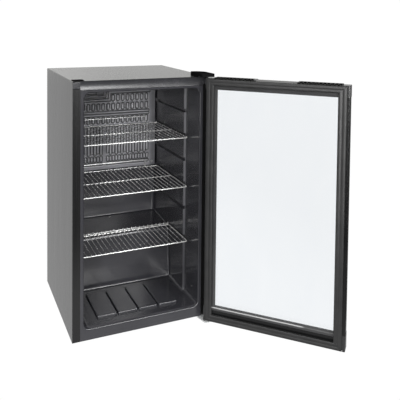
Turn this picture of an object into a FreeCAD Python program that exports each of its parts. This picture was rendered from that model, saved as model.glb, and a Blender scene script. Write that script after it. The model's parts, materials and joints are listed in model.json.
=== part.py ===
import FreeCAD, Part
import math
import os
import Sketcher

# Under-counter glass door merchandiser: a foamed cabinet with a thermoformed
# liner, three sliding wire shelves, a roll-bond evaporator, a rear machine
# compartment and one side-hung, double-glazed door.
#
# Every sub-part is drawn in cabinet coordinates: x runs from the left side
# sheet to the right, y from the front face backwards, z up from the underside
# of the cabinet box. Door parts are drawn closed. The Placement of each
# sub-part carries it into the common frame, whose origin lies on the floor at
# the centre of the cabinet's footprint; door parts are also turned about the
# hinge axis to the angle at which the door stands open.

V = FreeCAD.Vector
doc = FreeCAD.newDocument("GlassDoorMerchandiser")

# ------------------------------------------------------------------ dimensions
TABLE = [
    ("CabinetWidth", 470, "outside width over the side sheets"),
    ("CabinetDepth", 458, "front face to rear panel"),
    ("CabinetHeight", 830, "underside to top sheet"),
    ("FootHeight", 12, "floor to underside of the cabinet"),
    ("SheetThk", 0.8, "outer steel sheet"),
    ("BandWidth", 24.5, "folded front edge of each side sheet"),
    ("CornerDrop", 26, "height of the corner blocks at the top of the front"),
    ("BendOuter", 3, "outer bend radius of the wrap"),
    ("LinerThk", 1.5, "thermoformed liner wall"),
    ("FlangeGap", 0.5, "seam between side band and liner flange"),
    ("OpenLeft", 37, "left edge of the opening"),
    ("OpenRight", 434, "right edge of the opening"),
    ("OpenBottom", 35, "bottom edge of the opening"),
    ("OpenTop", 792, "top edge of the opening"),
    ("OpenRadius", 20, "corner radius of the opening"),
    ("RimDepth", 8, "depth of the thickened rim behind the opening"),
    ("RimLand", 7, "width of the thickened rim"),
    ("RimRound", 4, "rolled edge of the opening"),
    ("FloorLevel", 38, "liner floor"),
    ("CeilingLevel", 800, "liner ceiling"),
    ("StepDepth", 118, "depth at which the side walls step inwards"),
    ("StepInset", 8, "how far the side walls step inwards"),
    ("RearWall", 428, "liner rear wall"),
    ("CavityRound", 12, "corner radius of the rear part of the liner"),
    ("SlotHeight", 13, "height of a shelf groove"),
    ("SlotPitch", 88, "pitch of the shelf grooves"),
    ("SlotBase", 344, "centre of the lowest pitched groove"),
    ("SlotLow", 237, "centre of the bottom groove"),
    ("SlotEnd", 415, "rear end of the grooves"),
    ("HumpFoot", 246, "hump front wall at the floor"),
    ("HumpFront", 262, "hump front edge"),
    ("HumpTop", 227, "hump top at its front edge"),
    ("HumpRear", 240, "hump top at the rear wall"),
    ("HumpRound", 16, "hump front edge radius"),
    ("PadTop", 45, "top of the raised floor pads"),
    ("PadFront", 47, "front of the pads"),
    ("PadRear", 214, "rear of the pads"),
    ("PadWidth", 68, "width of one pad"),
    ("PadPitch", 72, "pitch of the pads"),
    ("PadLeft", 93, "left edge of the first pad"),
    ("BayFront", 292, "front wall of the machine compartment"),
    ("BayTop", 193, "roof of the machine compartment"),
    ("DoorAngle", 134, "opening angle at which the door stands, degrees"),
    ("HingeX", 460.5, "hinge axis from the left side"),
    ("HingeY", -23.8, "hinge axis in front of the cabinet face"),
    ("DoorThk", 42, "door thickness"),
    ("DoorLow", 1.5, "lower edge of the door"),
    ("DoorHigh", 829, "upper edge of the door"),
    ("CapTall", 37, "height of the upper corner caps"),
    ("CapLow", 50, "height of the lower corner caps"),
    ("CapWide", 24, "width of the handle side caps"),
    ("CapHinge", 30, "width of the hinge side caps"),
    ("SightLeft", 38, "glass sight line, handle side"),
    ("SightRight", 432, "glass sight line, hinge side"),
    ("SightLow", 52, "glass sight line, bottom"),
    ("SightHigh", 789.5, "glass sight line, top"),
    ("OuterSight", 9, "how much wider the outside sight opening is"),
    ("GripRise", 2.3, "how far the handle strip stands over the corner caps"),
    ("GlassBite", 14, "how far the glazing sits inside the frame"),
    ("PaneThk", 4, "thickness of each pane"),
    ("OuterPaneY", -38, "outside face of the outer pane"),
    ("InnerPaneY", -26, "gap side face of the inner pane"),
    ("BeadTopY", -13, "inside face of the glazing bead"),
    ("GasketLeft", 9, "gasket outer edge, handle side"),
    ("GasketRight", 466.5, "gasket outer edge, hinge side"),
    ("GasketLow", 1.6, "gasket outer edge, bottom"),
    ("GasketHigh", 825.5, "gasket outer edge, top"),
    ("GasketWide", 26.5, "gasket width"),
    ("GasketSeat", -12, "frame face under the gasket"),
    ("GasketGap", 0.8, "gasket to cabinet face with the door shut"),
    ("LipY", -5, "inside face of the frame outside the gasket"),
    ("CellPitch", 12.1, "pitch of the open cells in the door top"),
    ("CellWide", 10.4, "width of one open cell"),
    ("PinRadius", 4, "hinge pin radius"),
    ("PinBore", 4.05, "bushing bore radius"),
    ("BushRadius", 7, "bushing outside radius"),
    ("ShelfLeft", 39.5, "shelf outer edge, left"),
    ("ShelfRight", 431.5, "shelf outer edge, right"),
    ("RimWire", 2.5, "radius of the shelf border wire"),
    ("FrontWire", 2.9, "radius of the shelf front wire"),
    ("CrossWire", 2, "radius of the shelf cross wires"),
    ("GridWire", 1.5, "radius of the shelf grid wires"),
    ("GridPitch", 16.28, "pitch of the shelf grid wires"),
    ("GridFirst", 48.3, "first shelf grid wire"),
    ("ShelfFront", 88, "front wire of the upper and middle shelves"),
    ("ShelfRear", 397, "rear wire of the upper and middle shelves"),
    ("LowShelfFront", 82, "front wire of the lower shelf"),
    ("LowShelfRear", 258, "rear wire of the lower shelf"),
    ("UpperShelfZ", 604.2, "upper shelf wire level"),
    ("MiddleShelfZ", 428.2, "middle shelf wire level"),
    ("LowerShelfZ", 233.2, "lower shelf wire level"),
    ("RailHeight", 28, "height of the rear rail over the shelf"),
    ("PlateLeft", 49, "evaporator plate left edge"),
    ("PlateRight", 421.5, "evaporator plate right edge"),
    ("PlateLow", 432, "evaporator plate lower edge"),
    ("PlateHigh", 785, "evaporator plate upper edge"),
    ("PlateY", 405, "evaporator plate front face"),
    ("PlateThk", 1.6, "evaporator plate thickness"),
    ("FootStud", 4, "levelling stud radius"),
    ("FootStudBore", 4.06, "levelling nut bore radius"),
    ("FootPad", 18, "levelling foot pad radius"),
    ("FootX", 62, "feet from each side"),
    ("FootFrontY", 56, "front feet from the face"),
    ("FootRearY", 428, "rear feet from the face"),
    ("CompX", 300, "compressor centre, x"),
    ("CompY", 374, "compressor centre, y"),
    ("CondenserY", 474, "condenser tube plane"),
]
sheet = doc.addObject("Spreadsheet::Sheet", "Dimensions")
for row, (alias, value, note) in enumerate(TABLE, start=1):
    sheet.set("A%d" % row, note)
    sheet.set("B%d" % row, repr(value))
    sheet.setAlias("B%d" % row, alias)
doc.recompute()
D = {alias: float(sheet.get(alias)) for alias, value, note in TABLE}
NAMES = sorted(D, key=len, reverse=True)


def bound(text):
    """An expression with every alias pointed at the sheet."""
    out, word = "", ""
    for ch in str(text) + " ":
        if ch.isalnum() or ch == "_":
            word += ch
        else:
            out += ("Dimensions." + word if word in D else word) + ch
            word = ""
    return out.strip()


def link(obj, prop, value):
    """Bind a property to the sheet, or to a plain number."""
    obj.setExpression(prop, bound(value))


# --------------------------------------------------------------- solid helpers
def box(name, x0, x1, y0, y1, z0, z1):
    o = doc.addObject("Part::Box", name)
    link(o, "Length", "(%s)-(%s)" % (x1, x0))
    link(o, "Width", "(%s)-(%s)" % (y1, y0))
    link(o, "Height", "(%s)-(%s)" % (z1, z0))
    link(o, "Placement.Base.x", x0)
    link(o, "Placement.Base.y", y0)
    link(o, "Placement.Base.z", z0)
    return o


AXES = {
    "z": FreeCAD.Rotation(),
    "x": FreeCAD.Rotation(V(0, 1, 0), 90),
    "y": FreeCAD.Rotation(V(1, 0, 0), -90),
}


def cyl(name, axis, x, y, z, radius, length):
    """A cylinder that starts at x, y, z and runs along +axis."""
    o = doc.addObject("Part::Cylinder", name)
    o.Placement = FreeCAD.Placement(V(), AXES[axis])
    link(o, "Radius", radius)
    link(o, "Height", length)
    link(o, "Placement.Base.x", x)
    link(o, "Placement.Base.y", y)
    link(o, "Placement.Base.z", z)
    return o


def cone(name, axis, x, y, z, radius1, radius2, length):
    o = doc.addObject("Part::Cone", name)
    o.Placement = FreeCAD.Placement(V(), AXES[axis])
    link(o, "Radius1", radius1)
    link(o, "Radius2", radius2)
    link(o, "Height", length)
    link(o, "Placement.Base.x", x)
    link(o, "Placement.Base.y", y)
    link(o, "Placement.Base.z", z)
    return o


def ball(name, x, y, z, radius):
    o = doc.addObject("Part::Sphere", name)
    link(o, "Radius", radius)
    link(o, "Placement.Base.x", x)
    link(o, "Placement.Base.y", y)
    link(o, "Placement.Base.z", z)
    return o


def fuse(name, shapes, refine=False):
    o = doc.addObject("Part::MultiFuse", name)
    o.Shapes = shapes
    o.Refine = refine
    return o


def cut(name, base, tool, refine=False):
    o = doc.addObject("Part::Cut", name)
    o.Base, o.Tool = base, tool
    o.Refine = refine
    return o


def group(name, shapes):
    o = doc.addObject("Part::Compound", name)
    o.Links = shapes
    return o


def runs(edge, axis):
    d = edge.Vertexes[-1].Point - edge.Vertexes[0].Point
    return abs(abs(d.normalize()["xyz".index(axis)]) - 1) < 1e-6 if d.Length > 1e-9 else False


def rounded(name, base, picks, radius):
    """Part::Fillet of the straight edges that picks(edge) accepts."""
    doc.recompute()
    o = doc.addObject("Part::Fillet", name)
    o.Base = base
    o.Edges = [
        (i, radius, radius)
        for i, e in enumerate(base.Shape.Edges, start=1)
        if len(e.Vertexes) == 2 and picks(e)
    ]
    return o


def mid(edge):
    return edge.valueAt((edge.FirstParameter + edge.LastParameter) / 2)


# ---------------------------------------------------- part design body helpers
def plane_of(body, role):
    return [f for f in body.Origin.OriginFeatures if f.Role == role][0]


def sketch(body, name, role, loops, offset=None):
    """A sketch of closed polygons. Each corner is held by two bound distances."""
    sk = body.newObject("Sketcher::SketchObject", name)
    sk.AttachmentSupport = [(plane_of(body, role), "")]
    sk.MapMode = "FlatFace"
    if offset is not None:
        link(sk, "AttachmentOffset.Base.z", offset)
    held = []
    for corners in loops:
        first = sk.GeometryCount
        n = len(corners)
        guess = [V(10.0 * i + 3, 7.0 * (i % 3) + 11, 0) for i in range(n)]
        for i in range(n):
            sk.addGeometry(Part.LineSegment(guess[i], guess[(i + 1) % n]), False)
        for i in range(n):
            sk.addConstraint(
                Sketcher.Constraint("Coincident", first + i, 2, first + (i + 1) % n, 1)
            )
        for i, (u, w) in enumerate(corners):
            for kind, expr in (("DistanceX", u), ("DistanceY", w)):
                where = guess[i].x if kind == "DistanceX" else guess[i].y
                k = sk.addConstraint(
                    Sketcher.Constraint(kind, -1, 1, first + i, 1, where)
                )
                held.append((k, expr))
    for k, expr in held:
        sk.setExpression("Constraints[%d]" % k, bound(expr))
    doc.recompute()
    return sk


def circle_sketch(body, name, role, circles, offset=None):
    """A sketch of circles (u, w, radius), each held by bound dimensions."""
    sk = body.newObject("Sketcher::SketchObject", name)
    sk.AttachmentSupport = [(plane_of(body, role), "")]
    sk.MapMode = "FlatFace"
    if offset is not None:
        link(sk, "AttachmentOffset.Base.z", offset)
    for u, w, r in circles:
        g = sk.addGeometry(Part.Circle(V(31, 17, 0), V(0, 0, 1), 3.0), False)
        for kind, expr in (("DistanceX", u), ("DistanceY", w)):
            where = 31.0 if kind == "DistanceX" else 17.0
            k = sk.addConstraint(Sketcher.Constraint(kind, -1, 1, g, 3, where))
            sk.setExpression("Constraints[%d]" % k, bound(expr))
        k = sk.addConstraint(Sketcher.Constraint("Radius", g, 3.0))
        sk.setExpression("Constraints[%d]" % k, bound(r))
    doc.recompute()
    return sk


def rect(x0, x1, y0, y1):
    return [(x0, y0), (x1, y0), (x1, y1), (x0, y1)]


def pad(body, name, profile, length, back=False):
    o = body.newObject("PartDesign::Pad", name)
    o.Profile = profile
    link(o, "Length", length)
    o.Reversed = back
    doc.recompute()
    return o


def pocket(body, name, profile, length, back=False):
    before = body.Shape.Volume
    o = body.newObject("PartDesign::Pocket", name)
    o.Profile = profile
    link(o, "Length", length)
    o.Reversed = back
    doc.recompute()
    if not body.Shape.Volume < before - 1e-3:
        raise ValueError("pocket %s removes nothing" % name)
    return o


def soften(body, name, radius, picks, kind="PartDesign::Fillet"):
    tip = body.Tip
    names = [
        "Edge%d" % i
        for i, e in enumerate(tip.Shape.Edges, start=1)
        if len(e.Vertexes) == 2 and picks(e)
    ]
    o = body.newObject(kind, name)
    o.Base = (tip, names)
    if kind.endswith("Fillet"):
        link(o, "Radius", radius)
    else:
        link(o, "Size", radius)
    doc.recompute()
    return o


# ------------------------------------------------------------- wires and tubes
def tube_shape(points, radius, bend):
    """A round bar swept along straight runs joined by bends of one radius."""
    pts = [V(*p) for p in points]
    edges, start = [], pts[0]
    for i in range(1, len(pts) - 1):
        a = (pts[i - 1] - pts[i]).normalize()
        b = (pts[i + 1] - pts[i]).normalize()
        half = a.getAngle(b) / 2
        back = min(
            bend / math.tan(half),
            0.49 * (pts[i] - pts[i - 1]).Length,
            0.49 * (pts[i + 1] - pts[i]).Length,
        )
        r = back * math.tan(half)
        p1, p2 = pts[i] + a * back, pts[i] + b * back
        centre = pts[i] + (a + b).normalize() * (r / math.sin(half))
        middle = centre + (pts[i] - centre).normalize() * r
        if (p1 - start).Length > 1e-6:
            edges.append(Part.makeLine(start, p1))
        edges.append(Part.Arc(p1, middle, p2).toShape())
        start = p2
    edges.append(Part.makeLine(start, pts[-1]))
    path = Part.Wire(edges)
    direction = (pts[1] - pts[0]).normalize()
    ring = Part.Wire([Part.makeCircle(radius, pts[0], direction)])
    solid = path.makePipeShell([ring], True, False)
    if solid.ShapeType != "Solid":
        solid = Part.Solid(solid) if solid.ShapeType == "Shell" else solid.Solids[0]
    return solid


def shaped(name, shape):
    o = doc.addObject("Part::Feature", name)
    o.Shape = shape
    return o


# ---------------------------------------------------------------- node placing
NODES = []


def node(obj, label, where="cabinet"):
    """Give a sub-part its name and carry it into the common frame."""
    obj.Label = label
    if where == "door":
        obj.Placement = FreeCAD.Placement(V(), FreeCAD.Rotation(V(0, 0, 1), D["DoorAngle"]))
        link(obj, "Placement.Rotation.Angle", "DoorAngle * 1 deg")
        link(
            obj,
            "Placement.Base.x",
            "HingeX - CabinetWidth / 2 - HingeX * cos(DoorAngle * 1 deg)"
            " + HingeY * sin(DoorAngle * 1 deg)",
        )
        link(
            obj,
            "Placement.Base.y",
            "HingeY - CabinetDepth / 2 - HingeX * sin(DoorAngle * 1 deg)"
            " - HingeY * cos(DoorAngle * 1 deg)",
        )
    else:
        link(obj, "Placement.Base.x", "-CabinetWidth / 2")
        link(obj, "Placement.Base.y", "-CabinetDepth / 2")
    link(obj, "Placement.Base.z", "FootHeight")
    NODES.append(obj)
    return obj


# =============================================================== outer cabinet
# Wrap of pre-coated steel: both sides and the top in one sheet, with the front
# edge of each side folded inwards into a flat band.
shell = doc.addObject("PartDesign::Body", "OuterShell")
prof = sketch(shell, "ShellProfile", "XZ_Plane", [[
    ("0", "0"), ("0", "CabinetHeight"), ("CabinetWidth", "CabinetHeight"),
    ("CabinetWidth", "0"), ("CabinetWidth - SheetThk", "0"),
    ("CabinetWidth - SheetThk", "CabinetHeight - SheetThk"),
    ("SheetThk", "CabinetHeight - SheetThk"), ("SheetThk", "0"),
]])
pad(shell, "ShellPad", prof, "CabinetDepth", back=True)
soften(shell, "ShellInnerBend", "BendOuter - SheetThk", lambda e: runs(e, "y")
       and abs(mid(e).z - (D["CabinetHeight"] - D["SheetThk"])) < 1e-6
       and min(abs(mid(e).x - D["SheetThk"]), abs(mid(e).x - D["CabinetWidth"] + D["SheetThk"])) < 1e-6)
soften(shell, "ShellOuterBend", "BendOuter", lambda e: runs(e, "y")
       and abs(mid(e).z - D["CabinetHeight"]) < 1e-6
       and min(abs(mid(e).x), abs(mid(e).x - D["CabinetWidth"])) < 1e-6)
bands = sketch(shell, "BandProfile", "XZ_Plane", [
    rect("0", "BandWidth", "0", "CabinetHeight - CornerDrop"),
    rect("CabinetWidth - BandWidth", "CabinetWidth", "0", "CabinetHeight - CornerDrop"),
])
pad(shell, "Bands", bands, "SheetThk", back=True)
node(shell, "outer_shell")

# Rear sheet with a shallow pressed field that stiffens it.
rear = doc.addObject("PartDesign::Body", "RearPanel")
prof = sketch(rear, "RearProfile", "XZ_Plane", [rect(
    "SheetThk + 0.2", "CabinetWidth - SheetThk - 0.2", "BayTop + 1", "CabinetHeight - 1.2")],
    offset="-CabinetDepth + SheetThk")
pad(rear, "RearPad", prof, "SheetThk", back=True)
soften(rear, "RearCorners", "4", lambda e: runs(e, "y") and mid(e).z > D["CabinetHeight"] - 3)
prof = sketch(rear, "RearField", "XZ_Plane", [rect("42", "CabinetWidth - 42", "236", "CabinetHeight - 42")],
              offset="-CabinetDepth")
pad(rear, "RearFieldPad", prof, "1.4", back=True)
soften(rear, "RearFieldRound", "14", lambda e: runs(e, "y") and e.Length < 1.5 and 40 < mid(e).x < 430 and mid(e).z > 230)
node(rear, "rear_panel")

# Bottom sheet: clearance holes for the two levelling studs at the front.
base = doc.addObject("PartDesign::Body", "BasePlate")
prof = sketch(base, "BaseProfile", "XY_Plane", [rect(
    "SheetThk", "CabinetWidth - SheetThk", "LinerThk", "CabinetDepth - SheetThk")])
pad(base, "BasePad", prof, "1.2")
holes = circle_sketch(base, "StudHoles", "XY_Plane", [
    ("FootX", "FootFrontY", "FootStud + 0.6"), ("CabinetWidth - FootX", "FootFrontY", "FootStud + 0.6")])
pocket(base, "StudHolePocket", holes, "1.2", back=True)
node(base, "base_plate")

# L-shaped sheet that closes the foam off from the machine compartment.
bay = doc.addObject("PartDesign::Body", "BayPanel")
prof = sketch(bay, "BayProfile", "YZ_Plane", [[
    ("BayFront", "1.2"), ("BayFront", "BayTop"), ("CabinetDepth - SheetThk", "BayTop"),
    ("CabinetDepth - SheetThk", "BayTop - SheetThk"),
    ("BayFront + SheetThk", "BayTop - SheetThk"), ("BayFront + SheetThk", "1.2"),
]], offset="SheetThk")
pad(bay, "BayPad", prof, "CabinetWidth - 2 * SheetThk")
holes = circle_sketch(bay, "BayDrainHole", "XY_Plane", [("CabinetWidth / 2", "412", "6.6")], offset="BayTop")
pocket(bay, "BayDrainPocket", holes, "3")
node(bay, "compressor_bay_panel")

# Corner blocks at the top of the front and the rail between them.
blocks = []
for side, lo, hi in (("L", "SheetThk + 0.1", "BandWidth - 0.2"),
                     ("R", "CabinetWidth - BandWidth + 0.2", "CabinetWidth - SheetThk - 0.1")):
    b = box("CornerBlock" + side, lo, hi, "0.2", "13.6", "CabinetHeight - CornerDrop + 0.3", "CabinetHeight - BendOuter - 0.2")
    blocks.append(rounded("CornerBlockRound" + side, b, lambda e: runs(e, "x") and mid(e).y < 1, 2.0))
node(group("CornerBlocks", blocks), "front_corner_blocks")

rail = box("TopRailBar", "BandWidth + 0.1", "CabinetWidth - BandWidth - 0.1", "1", "13.6", "OpenTop + 10.3", "CabinetHeight - SheetThk - 0.1")
hollow = cyl("TopRailHollow", "x", "BandWidth - 5", "3.5 - 60", "CabinetHeight - 14", "60", "CabinetWidth - 2 * BandWidth + 10")
rail = cut("TopRailFace", rail, hollow)
bead = cyl("TopRailBead", "x", "BandWidth + 0.1", "2.2", "OpenTop + 9", "1.7", "CabinetWidth - 2 * BandWidth - 0.2")
lip = box("TopRailLip", "BandWidth + 0.1", "CabinetWidth - BandWidth - 0.1", "1.4", "6.2", "OpenTop + 7.3", "OpenTop + 10.6")
node(fuse("TopRail", [rail, lip, bead]), "front_top_rail")

plug = box("BlankPlate", "2", "38", "2", "34", "CabinetHeight", "CabinetHeight + 1.8")
plug = rounded("BlankPlateRound", plug, lambda e: runs(e, "z"), 5.0)
plug = rounded("BlankPlateSoft", plug, lambda e: abs(mid(e).z - D["CabinetHeight"] - 1.8) < 1e-4, 0.9)
node(group("HingeBlank", [plug]), "hinge_blank_cover")


# ======================================================================= liner
def cavity(tag, grow, front):
    """The space inside the liner, with every wall moved outwards by grow."""
    g = grow
    r = D["OpenRadius"] + (D["LinerThk"] if g != "0" else 0)
    fz = box("Fore" + tag, "OpenLeft - %s" % g, "OpenRight + %s" % g, front, "StepDepth + %s" % g,
             "FloorLevel - %s" % g, "CeilingLevel + %s" % g)
    fz = rounded("ForeRound" + tag, fz, lambda e: runs(e, "y"), r - 2)
    rz = box("Rear" + tag, "OpenLeft + StepInset - %s" % g, "OpenRight - StepInset + %s" % g,
             "StepDepth - 20", "RearWall + %s" % g, "FloorLevel - %s" % g, "CeilingLevel + %s" % g)
    rr = D["CavityRound"] + (D["LinerThk"] if g != "0" else 0)
    rz = rounded("RearRound" + tag, rz,
                 lambda e: runs(e, "y") or mid(e).y > D["RearWall"] - 1, rr)
    slots = []
    levels = ["SlotBase + %d * SlotPitch" % k for k in range(5)] + ["SlotLow"]
    for k, z in enumerate(levels):
        end = "SlotEnd" if k < 5 else "HumpFront"
        slots.append(box("Slots%d%s" % (k, tag), "OpenLeft - %s" % g, "OpenRight + %s" % g,
                         "StepDepth - 10", "%s + %s" % (end, g),
                         "%s - SlotHeight / 2 - %s" % (z, g), "%s + SlotHeight / 2 + %s" % (z, g)))
    whole = fuse("Room" + tag, [fz, rz] + slots)
    hump = doc.addObject("PartDesign::Body", "Hump" + tag)
    pr = sketch(hump, "HumpProfile" + tag, "YZ_Plane", [[
        ("HumpFoot + %s" % g, "0"), ("HumpFront + %s" % g, "HumpTop - %s" % g),
        ("RearWall + 20", "HumpRear - %s + 1.2" % g), ("RearWall + 20", "0"),
    ]])
    pad(hump, "HumpPad" + tag, pr, "CabinetWidth")
    soften(hump, "HumpEdge" + tag, "HumpRound - %s" % g,
           lambda e: runs(e, "x") and mid(e).z > 200 and mid(e).y < 300)
    room = cut("Cavity" + tag, whole, hump)
    extra = D["LinerThk"] if g != "0" else 0.0
    x0, x1 = D["OpenLeft"] + D["StepInset"] - extra, D["OpenRight"] - D["StepInset"] + extra

    def at_side(m):
        return min(abs(m.x - x0), abs(m.x - x1)) < 0.6

    return rounded("CavityHumpRound" + tag, room, lambda e: (
        (runs(e, "x") and e.Length > 200 and 238 < mid(e).y < 258 and mid(e).z < 50)
        or (at_side(mid(e)) and 262 < mid(e).y < 430 and 215 < mid(e).z < 246 and e.Length > 60)
        or (at_side(mid(e)) and 240 < mid(e).y < 266 and 45 < mid(e).z < 215 and e.Length > 60)), 6.0 + extra)


def front_opening(tag, grow, y0, y1):
    g = grow
    b = box("Mouth" + tag, "OpenLeft - %s" % g, "OpenRight + %s" % g, y0, y1,
            "OpenBottom - %s" % g, "OpenTop + %s" % g)
    return rounded("MouthRound" + tag, b, lambda e: runs(e, "y"),
                   D["OpenRadius"] + (D["RimLand"] if g != "0" else 0))


inner = cavity("In", "0", "RimDepth")
outer = cavity("Out", "LinerThk", "RimDepth - LinerThk")
mouth = front_opening("In", "0", "-2", "RimDepth + 0.01")
rim = front_opening("Out", "RimLand", "0", "RimDepth + LinerThk")
flange = box("Flange", "BandWidth + FlangeGap", "CabinetWidth - BandWidth - FlangeGap", "0", "LinerThk", "0", "OpenTop + 7")
body_out = fuse("LinerOuter", [outer, rim, flange])
body_in = fuse("LinerInner", [inner, mouth])
tray = cut("LinerWalls", body_out, body_in)


def at_mouth(e):
    m = mid(e)
    return (abs(m.y) < 1e-4 and D["OpenLeft"] - 0.5 < m.x < D["OpenRight"] + 0.5
            and D["OpenBottom"] - 0.5 < m.z < D["OpenTop"] + 0.5)


lip = rounded("LinerLip", tray, at_mouth, 3.4)
pads = []
for k in range(4):
    p = box("FloorPad%d" % k, "PadLeft + %d * PadPitch" % k, "PadLeft + PadWidth + %d * PadPitch" % k,
            "PadFront", "PadRear", "FloorLevel - 0.5", "PadTop")
    p = rounded("FloorPadCorner%d" % k, p, lambda e: runs(e, "z"), 5.0)
    pads.append(rounded("FloorPadSoft%d" % k, p, lambda e: abs(mid(e).z - D["PadTop"]) < 1e-4, 3.0))
withpads = fuse("LinerPads", [lip] + pads)
drain = cyl("LinerDrain", "z", "CabinetWidth / 2", "412", "BayTop", "5", "80")
node(cut("InnerLiner", withpads, drain), "inner_liner")

# Foam between wrap and liner. The machine compartment, the pockets for the
# levelling nuts and the drain are left free.
foam = box("FoamBlock", "SheetThk", "CabinetWidth - SheetThk", "LinerThk", "CabinetDepth - SheetThk",
           "1.2", "CabinetHeight - SheetThk")
foam = rounded("FoamBends", foam, lambda e: runs(e, "y") and mid(e).z > 800, D["BendOuter"] - D["SheetThk"])
voids = [
    cavity("Foam", "LinerThk", "-5"),
    front_opening("Foam", "RimLand", "-5", "RimDepth + LinerThk"),
    box("FoamBay", "-5", "CabinetWidth + 5", "BayFront", "CabinetDepth + 5", "-5", "BayTop"),
    box("FoamTopLip", "-5", "CabinetWidth + 5", "-5", "6.4", "OpenTop + 7", "OpenTop + 12"),
    box("FoamTopFront", "-5", "CabinetWidth + 5", "-5", "13.8", "OpenTop + 9.9", "CabinetHeight + 5"),
    cyl("FoamDrain", "z", "CabinetWidth / 2", "412", "BayTop - 5", "6.6", "80"),
    cyl("FoamNutL", "z", "FootX", "FootFrontY", "0", "10", "30"),
    cyl("FoamNutR", "z", "CabinetWidth - FootX", "FootFrontY", "0", "10", "30"),
]
node(cut("Foam", foam, fuse("FoamVoids", voids)), "foam_insulation")

# Drain: an outlet from the hump to the tray in the machine compartment.
dr = cyl("DrainBody", "z", "CabinetWidth / 2", "412", "BayTop - 26", "6.4", "26 + 42.4")
dr2 = cyl("DrainBore", "z", "CabinetWidth / 2", "412", "BayTop - 27", "4.6", "80")
node(cut("DrainTube", dr, dr2), "drain_tube")

# Round plugs in the right-hand wall.
plugs = []
for k, z in enumerate(("143", "83")):
    c = cyl("WallPlug%d" % k, "x", "OpenRight - 1.6", "54", z, "4.2", "1.6")
    plugs.append(c)
node(group("WallPlugs", plugs), "wall_plugs")

# ================================================================== evaporator
evap = doc.addObject("PartDesign::Body", "Evaporator")
pr = sketch(evap, "PlateProfile", "XZ_Plane", [rect("PlateLeft", "PlateRight", "PlateLow", "PlateHigh")],
            offset="-PlateY - PlateThk")
pad(evap, "PlatePad", pr, "PlateThk")
soften(evap, "PlateCorners", "9", lambda e: runs(e, "y"))
pr = circle_sketch(evap, "PlateHoles", "XZ_Plane", [
    ("64", "PlateHigh - 14", "2.4"), ("407", "PlateHigh - 14", "2.4"),
    ("64", "PlateLow + 14", "2.4"), ("407", "PlateLow + 14", "2.4")], offset="-PlateY + 1")
pocket(evap, "PlateHolePocket", pr, "6")
channels = []


def channel(x0, x1, z0, z1):
    channels.append(box("Channel%d" % len(channels), x0, x1, "PlateY - 1.4", "PlateY + 0.2", z0, z1))


for k in range(16):
    x = "80 + %d * 19.8" % k
    channel(x, x + " + 12", "613", "639.5")
    channel(x, x + " + 12", "666.6", "690.2")
for z in ("655", "644", "600.7"):
    channel("78", "392", z, z + " + 6")
for k in range(13):
    x = "80 + %d * 24.4" % k
    channel(x, x + " + 12", "497", "596")
for k in range(6):
    channel("80 + %d * 21" % k, "92 + %d * 21" % k, "467", "486")
    channel("228 + %d * 26" % k, "242 + %d * 26" % k, "467", "486")
node(fuse("EvaporatorPlate", [evap] + channels), "evaporator_plate")

posts, heads = [], []
for k, (x, z) in enumerate((("64", "PlateHigh - 14"), ("407", "PlateHigh - 14"), ("64", "PlateLow + 14"), ("407", "PlateLow + 14"))):
    tube = cyl("Standoff%d" % k, "y", x, "PlateY + PlateThk", z, "6", "RearWall - PlateY - PlateThk")
    bore = cyl("StandoffBore%d" % k, "y", x, "PlateY", z, "2.2", "RearWall - PlateY + 1")
    posts.append(cut("StandoffPost%d" % k, tube, bore))
    shank = cyl("PlateScrewShank%d" % k, "y", x, "PlateY - 0.1", z, "2.1", "18")
    head = cone("PlateScrewHead%d" % k, "y", x, "PlateY - 2.3", z, "2.6", "4.4", "2.3")
    heads.append(fuse("PlateScrew%d" % k, [shank, head]))
node(group("Standoffs", posts), "evaporator_standoffs")
node(group("PlateScrews", heads), "evaporator_screws")

# Ceiling control box with knob, lamp lens and rocker.
hb = box("ControlShell", "150", "320", "165", "229", "CeilingLevel - 22", "CeilingLevel")
hb = rounded("ControlRound", hb, lambda e: runs(e, "z"), 8.0)
hb = rounded("ControlSoft", hb, lambda e: abs(mid(e).z - D["CeilingLevel"] + 22) < 1e-4, 3.0)
hh = box("ControlHollow", "152.5", "317.5", "167.5", "226.5", "CeilingLevel - 19.5", "CeilingLevel + 1")
kn = cyl("KnobBore", "z", "285", "197", "CeilingLevel - 25", "3.05", "12")
lw = box("LensWindow", "170", "232", "179", "215", "CeilingLevel - 25", "CeilingLevel - 10")
sw = box("SwitchWindow", "245.6", "258.4", "186.8", "207.6", "CeilingLevel - 25", "CeilingLevel - 19.4")
shellbox = cut("ControlBox", hb, fuse("ControlVoids", [hh, kn, lw, sw]))
ears = [cut("SwitchEar" + side, box("SwitchEarBlock" + side, lo, lo + " + 2", "193.5", "200.5", "CeilingLevel - 19.6", "CeilingLevel - 14.5"),
            cyl("SwitchEarBore" + side, "x", lo + " - 1", "197", "CeilingLevel - 17.5", "1.26", "4"))
        for side, lo in (("L", "243.4"), ("R", "258.6"))]
node(fuse("ControlBoxEars", [shellbox] + ears), "thermostat_housing")

lens = box("LampLens", "170.2", "231.8", "179.2", "214.8", "CeilingLevel - 23.5", "CeilingLevel - 18.5")
lens = rounded("LampLensCorner", lens, lambda e: runs(e, "z"), 3.0)
ribs = [cyl("LensRib%d" % k, "y", "176 + %d * 7" % k, "180", "CeilingLevel - 23.5", "1.2", "34") for k in range(8)]
node(fuse("Lens", [lens] + ribs), "lamp_lens")

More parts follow.
